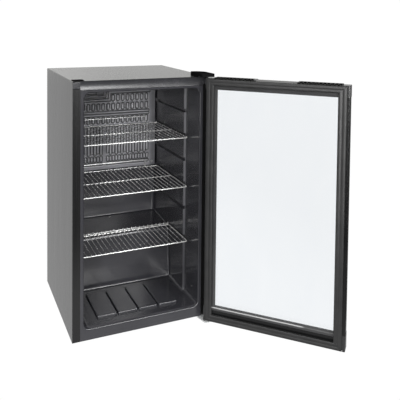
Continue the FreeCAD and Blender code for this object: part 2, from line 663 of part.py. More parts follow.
knob = doc.addObject("PartDesign::Body", "Knob")
pr = circle_sketch(knob, "KnobFace", "XY_Plane", [("285", "197", "13")], offset="CeilingLevel - 31")
pad(knob, "KnobDisc", pr, "8")
grips = circle_sketch(knob, "KnobGrips", "XY_Plane", [
    ("285 + 13.4 * cos(%d deg)" % a, "197 + 13.4 * sin(%d deg)" % a, "1.3") for a in range(15, 375, 30)], offset="CeilingLevel - 32")
pocket(knob, "KnobGripPocket", grips, "7", back=True)
pr = circle_sketch(knob, "KnobStem", "XY_Plane", [("285", "197", "3")], offset="CeilingLevel - 23.5")
pad(knob, "KnobStemPad", pr, "9")
pr = sketch(knob, "KnobPointer", "XY_Plane", [rect("284", "286", "197", "208.5")], offset="CeilingLevel - 32.2")
pad(knob, "KnobPointerPad", pr, "2")
node(knob, "thermostat_knob")

rocker = doc.addObject("PartDesign::Body", "Rocker")
pr = sketch(rocker, "RockerProfile", "YZ_Plane", [[
    ("188", "CeilingLevel - 20.5"), ("197", "CeilingLevel - 24.2"), ("206", "CeilingLevel - 25.6"),
    ("206", "CeilingLevel - 19"), ("199.5", "CeilingLevel - 15.4"), ("194.5", "CeilingLevel - 15.4"), ("188", "CeilingLevel - 17.5")]], offset="246")
pad(rocker, "RockerPad", pr, "12")
pr = circle_sketch(rocker, "RockerPivot", "YZ_Plane", [("197", "CeilingLevel - 17.5", "1.2")], offset="243.6")
pad(rocker, "RockerPivotPad", pr, "16.8")
node(rocker, "lamp_switch_rocker")


# ===================================================================== shelves
def shelf(tag, z, y0, y1, middle, rail):
    left, right = "ShelfLeft + RimWire", "ShelfRight - RimWire"
    wide = "ShelfRight - ShelfLeft - 2 * RimWire"
    parts = [
        cyl("Front" + tag, "x", left, y0, z, "FrontWire", wide),
        cyl("Back" + tag, "x", left, y1, z, "RimWire", wide),
        cyl("Left" + tag, "y", left, y0, z, "RimWire", "(%s) - (%s)" % (y1, y0)),
        cyl("Right" + tag, "y", right, y0, z, "RimWire", "(%s) - (%s)" % (y1, y0)),
        ball("CornerA" + tag, left, y0, z, "FrontWire"),
        ball("CornerB" + tag, right, y0, z, "FrontWire"),
        ball("CornerC" + tag, left, y1, z, "RimWire"),
        ball("CornerD" + tag, right, y1, z, "RimWire"),
    ]
    if middle:
        parts.append(cyl("Middle" + tag, "x", left, middle, "%s - 0.6" % z, "CrossWire", wide))
    for k in range(24):
        x = "GridFirst + %d * GridPitch" % k
        parts.append(cyl("Wire%d%s" % (k, tag), "y", x, y0, "%s + 1.1" % z, "GridWire",
                         "(%s) - (%s)" % (y1, y0)))
    if rail:
        a, b = "93", "377"
        top = "%s + %s" % (z, rail)
        parts += [
            cyl("Rail" + tag, "x", a, y1, top, "CrossWire", "377 - 93"),
            cyl("LegA" + tag, "z", a, y1, z, "CrossWire", rail),
            cyl("LegB" + tag, "z", b, y1, z, "CrossWire", rail),
            ball("RailA" + tag, a, y1, top, "CrossWire"),
            ball("RailB" + tag, b, y1, top, "CrossWire"),
        ]
    return fuse("Shelf" + tag, parts)


node(shelf("Up", "UpperShelfZ", "ShelfFront", "ShelfRear", "242", "RailHeight"), "shelf_upper")
node(shelf("Mid", "MiddleShelfZ", "ShelfFront", "ShelfRear", "242", "RailHeight"), "shelf_middle")
node(shelf("Low", "LowerShelfZ", "LowShelfFront", "LowShelfRear", None, "9"), "shelf_lower")

# ============================================================ hinges (cabinet)
ub = doc.addObject("PartDesign::Body", "UpperBracket")
pr = sketch(ub, "UpperBracketProfile", "XY_Plane", [[
    ("CabinetWidth - 36", "4"), ("CabinetWidth - 36", "52"), ("CabinetWidth - 27", "52"), ("CabinetWidth - 4", "22"),
    ("CabinetWidth - 3", "16"),
    ("CabinetWidth - 3", "-35"), ("CabinetWidth - 22", "-35"), ("CabinetWidth - 22", "4")]],
    offset="CabinetHeight")
pad(ub, "UpperBracketPad", pr, "2.5")
pr = circle_sketch(ub, "UpperBracketHoles", "XY_Plane", [
    ("HingeX", "HingeY", "PinRadius"), ("CabinetWidth - 27", "16", "2.3"),
    ("CabinetWidth - 12", "28", "2.3"), ("CabinetWidth - 27", "42", "2.3")], offset="CabinetHeight + 3")
pocket(ub, "UpperBracketPocket", pr, "4")
node(ub, "top_hinge_bracket")

up = fuse("UpperPin", [
    cyl("UpperPinShank", "z", "HingeX", "HingeY", "CabinetHeight - 17", "PinRadius", "20"),
    cyl("UpperPinHead", "z", "HingeX", "HingeY", "CabinetHeight + 2.5", "6.2", "1.8"),
])
node(up, "top_hinge_pin")

hs = []
for k, (x, y) in enumerate((("CabinetWidth - 27", "16"), ("CabinetWidth - 12", "28"), ("CabinetWidth - 27", "42"))):
    hs.append(fuse("TopHingeScrew%d" % k, [
        cyl("TopHingeShank%d" % k, "z", x, y, "CabinetHeight", "2.2", "2.6"),
        cone("TopHingeHead%d" % k, "z", x, y, "CabinetHeight + 2.5", "4.4", "2.8", "2.2")]))

def covering(tag, off, top):
    """The cover's outline set in by off: three tight corners and one broad one."""
    c = box("Cover" + tag, "CabinetWidth - 46 + %s" % off, "CabinetWidth - 0.4 - %s" % off, "-40 + %s" % off, "60 - %s" % off,
            "CabinetHeight + 0.05", top)
    c = rounded("CoverSweep" + tag, c, lambda e: runs(e, "z") and mid(e).x > 450 and mid(e).y > 40, 40.0 - float(off))
    return rounded("CoverCorners" + tag, c, lambda e: runs(e, "z") and e.Length > 5 and (mid(e).x < 435 or mid(e).y < -30), 2.6 - float(off) / 2)


cover = covering("Block", "0", "CabinetHeight + 13.5")
cover = rounded("CoverDome", cover, lambda e: abs(mid(e).z - D["CabinetHeight"] - 13.5) < 1e-4, 2.2)
hollow = covering("Hollow", "2", "CabinetHeight + 11.4")
relief = box("CoverRelief", "CabinetWidth - 50", "CabinetWidth + 2", "-45", "-1", "CabinetHeight - 1", "CabinetHeight + 2.3")
cover = cut("CoverShell", cover, fuse("CoverVoids", [hollow, relief]))
node(cover, "top_hinge_cover")

lb = doc.addObject("PartDesign::Body", "LowerBracket")
pr = sketch(lb, "LowerBracketProfile", "XY_Plane", [[
    ("CabinetWidth - 40", "4"), ("CabinetWidth - 40", "44"), ("CabinetWidth - 2", "44"),
    ("CabinetWidth - 2", "-40"), ("CabinetWidth - 8", "-47"), ("CabinetWidth - 24", "-49"),
    ("CabinetWidth - 29", "-47")]], offset="-3")
pad(lb, "LowerBracketPad", pr, "3")
pr = circle_sketch(lb, "LowerBracketHoles", "XY_Plane", [
    ("HingeX", "HingeY", "PinRadius"), ("CabinetWidth - 27", "18", "2.3"),
    ("CabinetWidth - 12", "28", "2.3"), ("CabinetWidth - 27", "36", "2.3")], offset="0.5")
pocket(lb, "LowerBracketPocket", pr, "4")
node(lb, "bottom_hinge_bracket")

node(fuse("LowerPin", [
    cyl("LowerPinShank", "z", "HingeX", "HingeY", "-3", "PinRadius", "19"),
    cyl("LowerPinCollar", "z", "HingeX", "HingeY", "0", "7.5", "1.1"),
    cyl("LowerPinHead", "z", "HingeX", "HingeY", "-4.6", "6.2", "1.6"),
]), "bottom_hinge_pin")

for k, (x, y) in enumerate((("CabinetWidth - 27", "18"), ("CabinetWidth - 12", "28"), ("CabinetWidth - 27", "36"))):
    hs.append(fuse("LowHingeScrew%d" % k, [
        cyl("LowHingeShank%d" % k, "z", x, y, "-3.2", "2.2", "3.2"),
        cone("LowHingeHead%d" % k, "z", x, y, "-5.2", "2.8", "4.4", "2.2")]))
node(group("HingeScrews", hs), "hinge_screws")


# ======================================================================== door
def door_voids(tag):
    """Space taken from the frame by glazing, bead, sight opening and gasket."""
    bite = "(GlassBite + 0.2)"
    return [
        box("GlassVoid" + tag, "SightLeft - %s" % bite, "SightRight + %s" % bite, "OuterPaneY - 0.2",
            "InnerPaneY + PaneThk + 0.2", "SightLow - %s" % bite, "SightHigh + %s" % bite),
        box("BeadVoid" + tag, "SightLeft - %s" % bite, "SightRight + %s" % bite, "InnerPaneY + PaneThk + 0.2",
            "2", "SightLow - %s" % bite, "SightHigh + %s" % bite),
        box("SightVoid" + tag, "SightLeft", "SightRight", "-60", "5", "SightLow", "SightHigh"),
        box("OuterSightVoid" + tag, "SightLeft - OuterSight", "SightRight + OuterSight", "-60", "OuterPaneY",
            "SightLow - OuterSight - 1", "SightHigh + OuterSight"),
        box("GasketVoid" + tag, "GasketLeft - 0.2", "GasketRight + 0.2", "GasketSeat - 0.1", "2",
            "-3", "GasketHigh + 0.2"),
    ]


bush_top = cyl("BushVoidTop", "z", "HingeX", "HingeY", "DoorHigh - 19", "BushRadius", "30")
bush_low = cyl("BushVoidLow", "z", "HingeX", "HingeY", "DoorLow - 10", "BushRadius", "26.5")


def framed(tag, pieces, extra=()):
    whole = fuse(tag + "Blank", pieces) if len(pieces) > 1 else pieces[0]
    return cut(tag, whole, fuse(tag + "Voids", door_voids(tag) + list(extra)))


node(framed("StileHandle", [rounded("StileHandleEdge", box(
    "StileHandleBar", "0.8", "SightLeft", "-DoorThk + 0.5", "LipY", "DoorLow + CapLow + 0.2", "DoorHigh - CapTall - 0.2"),
    lambda e: runs(e, "z") and mid(e).x < 1 , 2.4)]), "door_stile_handle_side", "door")
node(framed("StileHinge", [rounded("StileHingeEdge", box(
    "StileHingeBar", "SightRight", "CabinetWidth - 0.8", "-DoorThk + 0.5", "LipY", "DoorLow + CapLow + 0.2", "DoorHigh - CapTall - 0.2"),
    lambda e: runs(e, "z") and mid(e).x > D["CabinetWidth"] - 1, 2.4)]), "door_stile_hinge_side", "door")

cells = []
for k in range(11):
    for side, x in (("A", "25.4"), ("B", "306.2")):
        cells.append(box("Cell%s%d" % (side, k), "%s + %d * CellPitch" % (x, k), "%s + %d * CellPitch + CellWide" % (x, k),
                         "-DoorThk + 4", "-9", "DoorHigh - 9", "DoorHigh + 5"))
grip = box("GripVoid", "163", "299", "-DoorThk - 2", "-DoorThk + 20", "DoorHigh - 20", "DoorHigh + 5")
grip = rounded("GripVoidRound", grip, lambda e: runs(e, "y") and mid(e).z < D["DoorHigh"], 9.0)
# The ribs stand free over a lower inside wall. Between the two combs the strip
# slopes down to the inside.
for side, x in (("A", "24"), ("B", "304.9")):
    cells.append(box("CombWall" + side, x, x + " + 11 * CellPitch + 2", "-9.2", "-2", "DoorHigh - 0.5", "DoorHigh + 5"))
slope = doc.addObject("PartDesign::Body", "GripSlope")
pr = sketch(slope, "GripSlopeProfile", "YZ_Plane", [[
    ("-22.5", "DoorHigh + GripRise + 0.1"), ("-4", "DoorHigh - 2.6"), ("-4", "DoorHigh + 5"), ("-22.5", "DoorHigh + 5")]], offset="163")
pad(slope, "GripSlopePad", pr, "136")
cells.append(slope)
node(framed("RailTop", [
    box("RailTopBar", "CapWide + 0.2", "CabinetWidth - CapHinge - 0.2", "-DoorThk + 0.5", "LipY", "DoorHigh - CapTall", "DoorHigh + GripRise"),
    box("RailTopLip", "SightLeft + 0.2", "SightRight - 0.2", "-DoorThk + 0.5", "LipY", "SightHigh - 1", "DoorHigh - CapTall + 1"),
], cells + [grip]), "door_rail_top", "door")
node(framed("RailBottom", [
    box("RailBottomBar", "CapWide + 0.2", "CabinetWidth - CapHinge - 0.2", "-DoorThk + 0.5", "LipY", "DoorLow + 0.4", "DoorLow + CapLow"),
    box("RailBottomLip", "SightLeft + 0.2", "SightRight - 0.2", "-DoorThk + 0.5", "LipY", "DoorLow + CapLow - 1", "SightLow + 1"),
]), "door_rail_bottom", "door")


def cap(tag, x0, x1, z0, z1, outer_x, extra=()):
    b = box(tag + "Bar", x0, x1, "-DoorThk", "LipY + 1", z0, z1)
    b = rounded(tag + "Edge", b, lambda e: runs(e, "z") and abs(mid(e).x - outer_x) < 1, 3.0)
    return framed(tag, [b], extra)


node(cap("CapTopHandle", "0", "CapWide", "DoorHigh - CapTall", "DoorHigh", 0), "door_cap_top_handle", "door")
node(cap("CapTopHinge", "CabinetWidth - CapHinge", "CabinetWidth", "DoorHigh - CapTall", "DoorHigh", D["CabinetWidth"],
         [bush_top]), "door_cap_top_hinge", "door")
node(cap("CapLowHandle", "0", "CapWide", "DoorLow", "DoorLow + CapLow", 0), "door_cap_bottom_handle", "door")
node(cap("CapLowHinge", "CabinetWidth - CapHinge", "CabinetWidth", "DoorLow", "DoorLow + CapLow", D["CabinetWidth"],
         [bush_low]), "door_cap_bottom_hinge", "door")

gasket = doc.addObject("PartDesign::Body", "Gasket")
pr = sketch(gasket, "GasketProfile", "XZ_Plane", [
    rect("GasketLeft", "GasketRight", "GasketLow", "GasketHigh"),
    rect("GasketLeft + GasketWide", "GasketRight - GasketWide", "GasketLow + GasketWide - 1", "GasketHigh - GasketWide + 6")],
    offset="-GasketSeat")
pad(gasket, "GasketPad", pr, "-GasketSeat - GasketGap", back=True)
soften(gasket, "GasketSoft", "2.2", lambda e: abs(mid(e).y + D["GasketGap"]) < 1e-4)
node(gasket, "door_gasket", "door")

bead = doc.addObject("PartDesign::Body", "GlazingBead")
pr = sketch(bead, "BeadProfile", "XZ_Plane", [
    rect("SightLeft - GlassBite", "SightRight + GlassBite", "SightLow - GlassBite", "SightHigh + GlassBite"),
    rect("SightLeft", "SightRight", "SightLow", "SightHigh")], offset="-InnerPaneY - PaneThk - 0.25")
pad(bead, "BeadPad", pr, "BeadTopY - InnerPaneY - PaneThk - 0.25", back=True)
soften(bead, "BeadBevel", "5.5", lambda e: abs(mid(e).y - D["BeadTopY"]) < 1e-3
       and D["SightLeft"] - 1 < mid(e).x < D["SightRight"] + 1 and D["SightLow"] - 1 < mid(e).z < D["SightHigh"] + 1,
       kind="PartDesign::Chamfer")
node(bead, "glazing_bead", "door")

for tag, label, y in (("PaneIn", "glass_inner_pane", "InnerPaneY"), ("PaneOut", "glass_outer_pane", "OuterPaneY")):
    pane = doc.addObject("PartDesign::Body", tag)
    pr = sketch(pane, tag + "Profile", "XZ_Plane", [rect(
        "SightLeft - GlassBite + 0.5", "SightRight + GlassBite - 0.5", "SightLow - GlassBite + 0.5", "SightHigh + GlassBite - 0.5")],
        offset="-(%s)" % y)
    pad(pane, tag + "Pad", pr, "PaneThk", back=True)
    soften(pane, tag + "Arris", "0.4", lambda e: not runs(e, "y"), kind="PartDesign::Chamfer")
    node(pane, label, "door")

spacer = doc.addObject("PartDesign::Body", "Spacer")
pr = sketch(spacer, "SpacerProfile", "XZ_Plane", [
    rect("SightLeft - GlassBite + 1", "SightRight + GlassBite - 1", "SightLow - GlassBite + 1", "SightHigh + GlassBite - 1"),
    rect("SightLeft - 7", "SightRight + 7", "SightLow - 7", "SightHigh + 7")], offset="-OuterPaneY - PaneThk")
pad(spacer, "SpacerPad", pr, "InnerPaneY - OuterPaneY - PaneThk", back=True)
node(spacer, "glazing_spacer_bar", "door")

bushes = []
for tag, z0, flange_z, length in (("Top", "DoorHigh - 19", "DoorHigh", "19"), ("Low", "DoorLow - 0.3", None, "16.8")):
    barrel = cyl("Bush%s" % tag, "z", "HingeX", "HingeY", z0, "BushRadius", length)
    pieces = [barrel]
    if flange_z:
        pieces.append(cyl("BushFlange%s" % tag, "z", "HingeX", "HingeY", flange_z, "8.6", "0.6"))
    whole = fuse("BushBody%s" % tag, pieces) if len(pieces) > 1 else barrel
    bushes.append(cut("Bushing%s" % tag, whole, cyl("BushBore%s" % tag, "z", "HingeX", "HingeY", "%s - 3" % z0, "PinBore", "30")))
node(group("Bushings", bushes), "door_bushings", "door")


# ======================================================== feet and base fixings
def foot(tag, x):
    b = doc.addObject("PartDesign::Body", "Foot" + tag)
    pr = circle_sketch(b, "FootPad" + tag, "XY_Plane", [(x, "FootFrontY", "FootPad")], offset="-FootHeight")
    pad(b, "FootPadPad" + tag, pr, "5")
    soften_edges = [("Edge%d" % i) for i, e in enumerate(b.Shape.Edges, start=1)
                    if len(e.Vertexes) == 1 and abs(e.Vertexes[0].Z + D["FootHeight"] - 5) < 1e-4]
    seat = b.Tip
    f = b.newObject("PartDesign::Fillet", "FootSoft" + tag)
    f.Base = (seat, soften_edges)
    f.Radius = 2.0
    doc.recompute()
    pr = circle_sketch(b, "FootNeck" + tag, "XY_Plane", [(x, "FootFrontY", "7")], offset="-FootHeight + 5")
    pad(b, "FootNeckPad" + tag, pr, "4")
    pr = circle_sketch(b, "FootStud" + tag, "XY_Plane", [(x, "FootFrontY", "FootStud")], offset="-FootHeight + 9")
    pad(b, "FootStudPad" + tag, pr, "28")
    return b


node(foot("L", "FootX"), "front_left_foot")
node(foot("R", "CabinetWidth - FootX"), "front_right_foot")

nuts = []
for side, x in (("L", "FootX"), ("R", "CabinetWidth - FootX")):
    hexa = doc.addObject("Part::Prism", "NutHex" + side)
    hexa.Polygon = 6
    hexa.Circumradius = 7.5
    hexa.Height = 9
    link(hexa, "Placement.Base.x", x)
    link(hexa, "Placement.Base.y", "FootFrontY")
    link(hexa, "Placement.Base.z", "1.2")
    nuts.append(cut("NutBody" + side, hexa, cyl("NutBore" + side, "z", x, "FootFrontY", "0", "FootStudBore", "14")))
node(group("FootNuts", nuts), "foot_insert_nuts")

rearfeet = []
for side, x in (("L", "FootX"), ("R", "CabinetWidth - FootX")):
    rearfeet.append(cone("RearFoot" + side, "z", x, "FootRearY", "-FootHeight", "14", "17", "FootHeight"))
node(group("RearFeet", rearfeet), "rear_feet")

# ========================================================= machine compartment
comp = doc.addObject("PartDesign::Body", "Compressor")
sk = comp.newObject("Sketcher::SketchObject", "CompressorProfile")
sk.AttachmentSupport = [(plane_of(comp, "XZ_Plane"), "")]
sk.MapMode = "FlatFace"
link(sk, "AttachmentOffset.Base.x", "CompX")
link(sk, "AttachmentOffset.Base.z", "-CompY")
outline = [(0, 24), (34, 26), (56, 36), (64, 52), (65, 88), (68.5, 88), (68.5, 95), (65, 95), (64, 128), (54, 147), (32, 158), (0, 160)]
n = len(outline)
for i in range(n):
    a, b = outline[i], outline[(i + 1) % n]
    sk.addGeometry(Part.LineSegment(V(a[0], a[1], 0), V(b[0], b[1], 0)), False)
for i in range(n):
    sk.addConstraint(Sketcher.Constraint("Coincident", i, 2, (i + 1) % n, 1))
for i, (u, w) in enumerate(outline):
    sk.addConstraint(Sketcher.Constraint("DistanceX", -1, 1, i, 1, float(u)))
    sk.addConstraint(Sketcher.Constraint("DistanceY", -1, 1, i, 1, float(w)))
doc.recompute()
rev = comp.newObject("PartDesign::Revolution", "CompressorShell")
rev.Profile = sk
rev.ReferenceAxis = (sk, ["V_Axis"])
rev.Angle = 360
doc.recompute()
comp.Tip = rev
node(comp, "compressor_shell")

cp = box("CompressorPlateBar", "CompX - 96", "CompX + 96", "CompY - 52", "CompY + 52", "12", "15")
cp = rounded("CompressorPlateCorner", cp, lambda e: runs(e, "z"), 12.0)
saddle = cyl("CompressorSaddle", "z", "CompX", "CompY", "14.5", "40", "12.6")
shellcut = cyl("SaddleHollow", "z", "CompX", "CompY", "14", "37.5", "16")
cp = fuse("CompressorPlateUnion", [cp, cut("SaddleRing", saddle, shellcut)])
spots = [("CompX - 80", "CompY - 38"), ("CompX + 80", "CompY - 38"), ("CompX - 80", "CompY + 38"), ("CompX + 80", "CompY + 38")]
cp = cut("CompressorPlate", cp, fuse("CompressorPlateHoles", [
    cyl("PlateHoleC%d" % k, "z", x, y, "10", "6.1", "8") for k, (x, y) in enumerate(spots)]))
grommets, bolts = [], []
for k, (x, y) in enumerate(spots):
    g = fuse("GrommetBody%d" % k, [
        cyl("GrommetLow%d" % k, "z", x, y, "1.2", "11", "10.8"),
        cyl("GrommetNeck%d" % k, "z", x, y, "11", "6", "5"),
        cyl("GrommetTop%d" % k, "z", x, y, "15", "9", "5")])
    grommets.append(cut("Grommet%d" % k, g, cyl("GrommetBore%d" % k, "z", x, y, "0", "3.2", "30")))
    bolts.append(fuse("MountBolt%d" % k, [
        cyl("MountBoltShank%d" % k, "z", x, y, "1.2", "3", "23"),
        cyl("MountBoltHead%d" % k, "z", x, y, "20", "7.5", "1.4"),
        cyl("MountBoltNut%d" % k, "z", x, y, "21.4", "5", "4")]))
node(cp, "compressor_mount_plate")
node(group("Grommets", grommets), "compressor_grommets")
node(group("MountBolts", bolts), "compressor_bolts")

relay = box("RelayBlock", "CompX + 66", "CompX + 108", "CompY - 30", "CompY + 30", "60", "122")
relay = rounded("RelayRound", relay, lambda e: runs(e, "x"), 6.0)
relay = cut("RelayCut", relay, cyl("RelayClear", "z", "CompX", "CompY", "40", "69.2", "110"))
node(relay, "compressor_relay_cover")

tr = box("TrayBlock", "170", "372", "CompY - 64", "CompY + 64", "162.5", "178")
tr = rounded("TrayRound", tr, lambda e: runs(e, "z"), 10.0)
trh = box("TrayHollow", "171.8", "370.2", "CompY - 62.2", "CompY + 62.2", "164.2", "180")
node(cut("Tray", tr, trh), "evaporation_tray")


def serpentine():
    """Condenser: from the drier up through eleven runs and down the riser."""
    y, lo = D["CondenserY"], 250.0
    x0, x1, step = 62.0, D["CabinetWidth"] - 76.0, 52.8
    cx, cy = D["CompX"], D["CompY"]
    pts = [(x0, cy + 10, 155.0), (x0, cy + 10, 172.0), (x0, y, 172.0)]
    for k in range(11):
        z = lo + k * step
        a, b = (x0, x1) if k % 2 == 0 else (x1, x0)
        pts += [(a, y, z), (b, y, z)]
    pts[-1] = (x1 + 17, y, lo + 10 * step)
    pts += [(x1 + 17, y, 135.0), (x1 + 17, cy + 72, 135.0), (cx, cy + 72, 135.0), (cx, cy + 59.5, 135.0)]
    return tube_shape(pts, 2.4, 17.0)


node(shaped("CondenserTube", serpentine()), "condenser_tube")
wires = []
for k in range(26):
    x = "100 + %d * (CabinetWidth - 214) / 25" % k
    for side, y in (("F", "CondenserY - 3.15"), ("B", "CondenserY + 3.15")):
        wires.append(cyl("CondenserWire%s%d" % (side, k), "z", x, y, "238", "0.7", "550"))
node(group("CondenserWires", wires), "condenser_wires")

clips = []
for k, (x, z) in enumerate((("82", "302.8"), ("CabinetWidth - 104", "302.8"), ("82", "725.2"), ("CabinetWidth - 104", "725.2"))):
    b = box("ClipBar%d" % k, x, "%s + 9" % x, "CabinetDepth + 1.45", "CondenserY + 6", "%s - 11" % z, "%s + 11" % z)
    b = rounded("ClipRound%d" % k, b, lambda e: runs(e, "x") and mid(e).y > D["CondenserY"], 4.0)
    clips.append(cut("Clip%d" % k, b, cyl("ClipHole%d" % k, "x", "%s - 1" % x, "CondenserY", z, "2.46", "12")))


def pipes():
    """Capillary and suction line in the machine compartment."""
    cx, cy = D["CompX"], D["CompY"]
    top = D["BayTop"] - D["SheetThk"] - 0.2
    return Part.makeCompound([
        tube_shape([(62, cy + 10, 46), (62, cy + 10, 28), (62, 322, 28), (62, 322, top)], 1.2, 8),
        tube_shape([(cx - 62, cy, 112), (150, cy, 112), (150, cy, top)], 3.4, 11),
    ])


node(shaped("Pipes", pipes()), "refrigerant_pipes")

dryer = fuse("DryerBody", [
    cyl("DryerBarrel", "z", "62", "CompY + 10", "56", "9.5", "88"),
    cone("DryerLow", "z", "62", "CompY + 10", "44", "2.4", "9.5", "12"),
    cone("DryerHigh", "z", "62", "CompY + 10", "144", "9.5", "3.4", "12"),
])
node(dryer, "filter_drier")


def cord():
    """Supply cord: from its clamp up the back to a parked plug."""
    y = D["CabinetDepth"] + 8.0
    x = D["CabinetWidth"] - 34.0
    return tube_shape([(D["CompX"] + 108.1, 392.0, 110.0), (x, 392.0, 110.0), (x, y, 110.0), (x, y, 420.0), (x + 14, y, 440.0),
                       (x + 14, y, 520.0)], 3.3, 9.0)


flex = shaped("Cord", cord())
plug_body = box("PlugBlock", "CabinetWidth - 34", "CabinetWidth - 6", "CabinetDepth + 1.6", "CabinetDepth + 15", "518", "556")
plug_body = rounded("PlugRound", plug_body, lambda e: runs(e, "z"), 5.0)
prongs = [box("Prong%d" % k, x, "%s + 5" % x, "CabinetDepth + 6.6", "CabinetDepth + 9.4", "554", "573") for k, x in enumerate(("CabinetWidth - 30", "CabinetWidth - 15"))]
node(fuse("PowerCord", [flex, plug_body] + prongs), "power_cord")

clamp = box("ClampBlock", "CabinetWidth - 46", "CabinetWidth - 22", "CabinetDepth - 30", "CabinetDepth - 16", "98", "122")
clamp = rounded("ClampRound", clamp, lambda e: runs(e, "y"), 4.0)
clamp = cut("ClampBody", clamp, cyl("ClampBore", "y", "CabinetWidth - 34", "400", "110", "3.32", "60"))
strap = box("ClampStrap", "CabinetWidth - 46", "CabinetWidth - 0.9", "CabinetDepth - 28", "CabinetDepth - 18", "86", "98")
node(fuse("CordClamp", [clamp, strap]), "cord_clamp")

screws = []
for k, (x, z) in enumerate((("20", "BayTop + 24"), ("CabinetWidth - 20", "BayTop + 24"), ("20", "510"),
                            ("CabinetWidth - 20", "494"), ("20", "CabinetHeight - 20"), ("CabinetWidth - 20", "CabinetHeight - 20"))):
    screws.append(cone("PanelScrew%d" % k, "y", x, "CabinetDepth", z, "4.2", "2.4", "2.2"))
node(group("PanelScrews", screws), "rear_panel_screws")
node(group("CondenserClips", clips), "condenser_brackets")

# ============================================================ check and export
doc.recompute()
bad = []
for o in doc.Objects:
    if any(s in ("Invalid", "Error") for s in o.State):
        bad.append("%s (%s): %s" % (o.Name, o.Label, o.State))
for o in NODES:
    if o.Shape.isNull() or not o.Shape.isValid() or not o.Shape.Solids:
        bad.append("%s: shape is null, invalid or holds no solid" % o.Label)
labels = [o.Label for o in NODES]
if len(set(labels)) != len(labels):
    bad.append("two sub-parts share a name")
if bad:
    raise RuntimeError("; ".join(bad))
os.makedirs("parts", exist_ok=True)
for old in os.listdir("parts"):
    if old.endswith(".step") and old[:-5] not in labels:
        os.remove(os.path.join("parts", old))
for o in NODES:
    o.Shape.exportStep(os.path.join("parts", o.Label + ".step"))
    bb = o.Shape.BoundBox
    print("%-28s solids %2d  x %8.1f %8.1f  y %8.1f %8.1f  z %7.1f %7.1f" % (
        o.Label, len(o.Shape.Solids), bb.XMin, bb.XMax, bb.YMin, bb.YMax, bb.ZMin, bb.ZMax))
print(len(NODES), "nodes")
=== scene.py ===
import json
import math

import bmesh
import bpy
import numpy as np
from mathutils import Matrix, Vector


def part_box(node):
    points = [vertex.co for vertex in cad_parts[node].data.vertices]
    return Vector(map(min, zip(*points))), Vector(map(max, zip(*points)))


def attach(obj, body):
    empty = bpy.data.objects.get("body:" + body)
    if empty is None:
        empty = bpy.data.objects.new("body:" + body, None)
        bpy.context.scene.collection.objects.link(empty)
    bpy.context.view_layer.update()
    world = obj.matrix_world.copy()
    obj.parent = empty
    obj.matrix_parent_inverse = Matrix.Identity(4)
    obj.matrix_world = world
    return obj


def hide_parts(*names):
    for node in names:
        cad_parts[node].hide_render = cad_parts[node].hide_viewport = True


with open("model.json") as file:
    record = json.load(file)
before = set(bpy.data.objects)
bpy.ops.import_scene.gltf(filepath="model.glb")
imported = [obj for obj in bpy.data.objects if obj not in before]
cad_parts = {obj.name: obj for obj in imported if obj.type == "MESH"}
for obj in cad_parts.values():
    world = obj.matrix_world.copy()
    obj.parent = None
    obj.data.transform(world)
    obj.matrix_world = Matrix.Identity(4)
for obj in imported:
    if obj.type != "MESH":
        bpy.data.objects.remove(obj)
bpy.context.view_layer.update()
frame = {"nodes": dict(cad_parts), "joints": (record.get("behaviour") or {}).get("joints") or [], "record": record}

scene = bpy.context.scene
scene.view_settings.view_transform = "Standard"
scene.view_settings.look = "None"

# --------------------------------------------------------------- shared frame
# Cabinet coordinates in millimetres: x from the left side, y from the front
# face backwards, z up from the underside of the cabinet box.
_lo, _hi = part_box("outer_shell")
X0, Y0, Z0 = _lo.x, _lo.y, _lo.z
W = (_hi.x - _lo.x) * 1000
D = (_hi.y - _lo.y) * 1000
H = (_hi.z - _lo.z) * 1000
_hinge = next(j for j in frame["joints"] if j["name"] == "door_hinge")
AXIS = Vector(_hinge["pos_m"])
OPEN = math.radians(-_hinge["range_deg"][0])
_turn = Matrix.Rotation(OPEN, 3, "Z")


def P(x, y, z):
    """Cabinet millimetres to row metres."""
    return Vector((X0 + x / 1000, Y0 + y / 1000, Z0 + z / 1000))


def PD(x, y, z):
    """The same for a point of the shut door, carried round to the open pose."""
    p = P(x, y, z)
    q = _turn @ Vector((p.x - AXIS.x, p.y - AXIS.y, 0))
    return Vector((q.x + AXIS.x, q.y + AXIS.y, p.z))


def mm(node):
    """A cabinet node's box in cabinet millimetres."""
    lo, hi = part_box(node)
    f = lambda v: ((v.x - X0) * 1000, (v.y - Y0) * 1000, (v.z - Z0) * 1000)
    return f(lo), f(hi)


# -------------------------------------------------------------- mesh building
def new_piece(name, verts, faces, place=P, smooth=35.0):
    me = bpy.data.meshes.new(name)
    me.from_pydata([place(*v) for v in verts], [], faces)
    me.validate()
    bm = bmesh.new()
    bm.from_mesh(me)
    bmesh.ops.remove_doubles(bm, verts=bm.verts, dist=1e-6)
    bmesh.ops.recalc_face_normals(bm, faces=bm.faces)
    bm.to_mesh(me)
    bm.free()
    ob = bpy.data.objects.new(name, me)
    scene.collection.objects.link(ob)
    shade(ob, smooth)
    return ob


def shade(ob, angle=35.0):
    me = ob.data
    if not me.polygons:
        return
    bm = bmesh.new()
    bm.from_mesh(me)
    limit = math.radians(angle)
    for f in bm.faces:
        f.smooth = True
    for e in bm.edges:
        e.smooth = not (len(e.link_faces) == 2 and e.calc_face_angle(0) > limit)
    bm.to_mesh(me)
    bm.free()


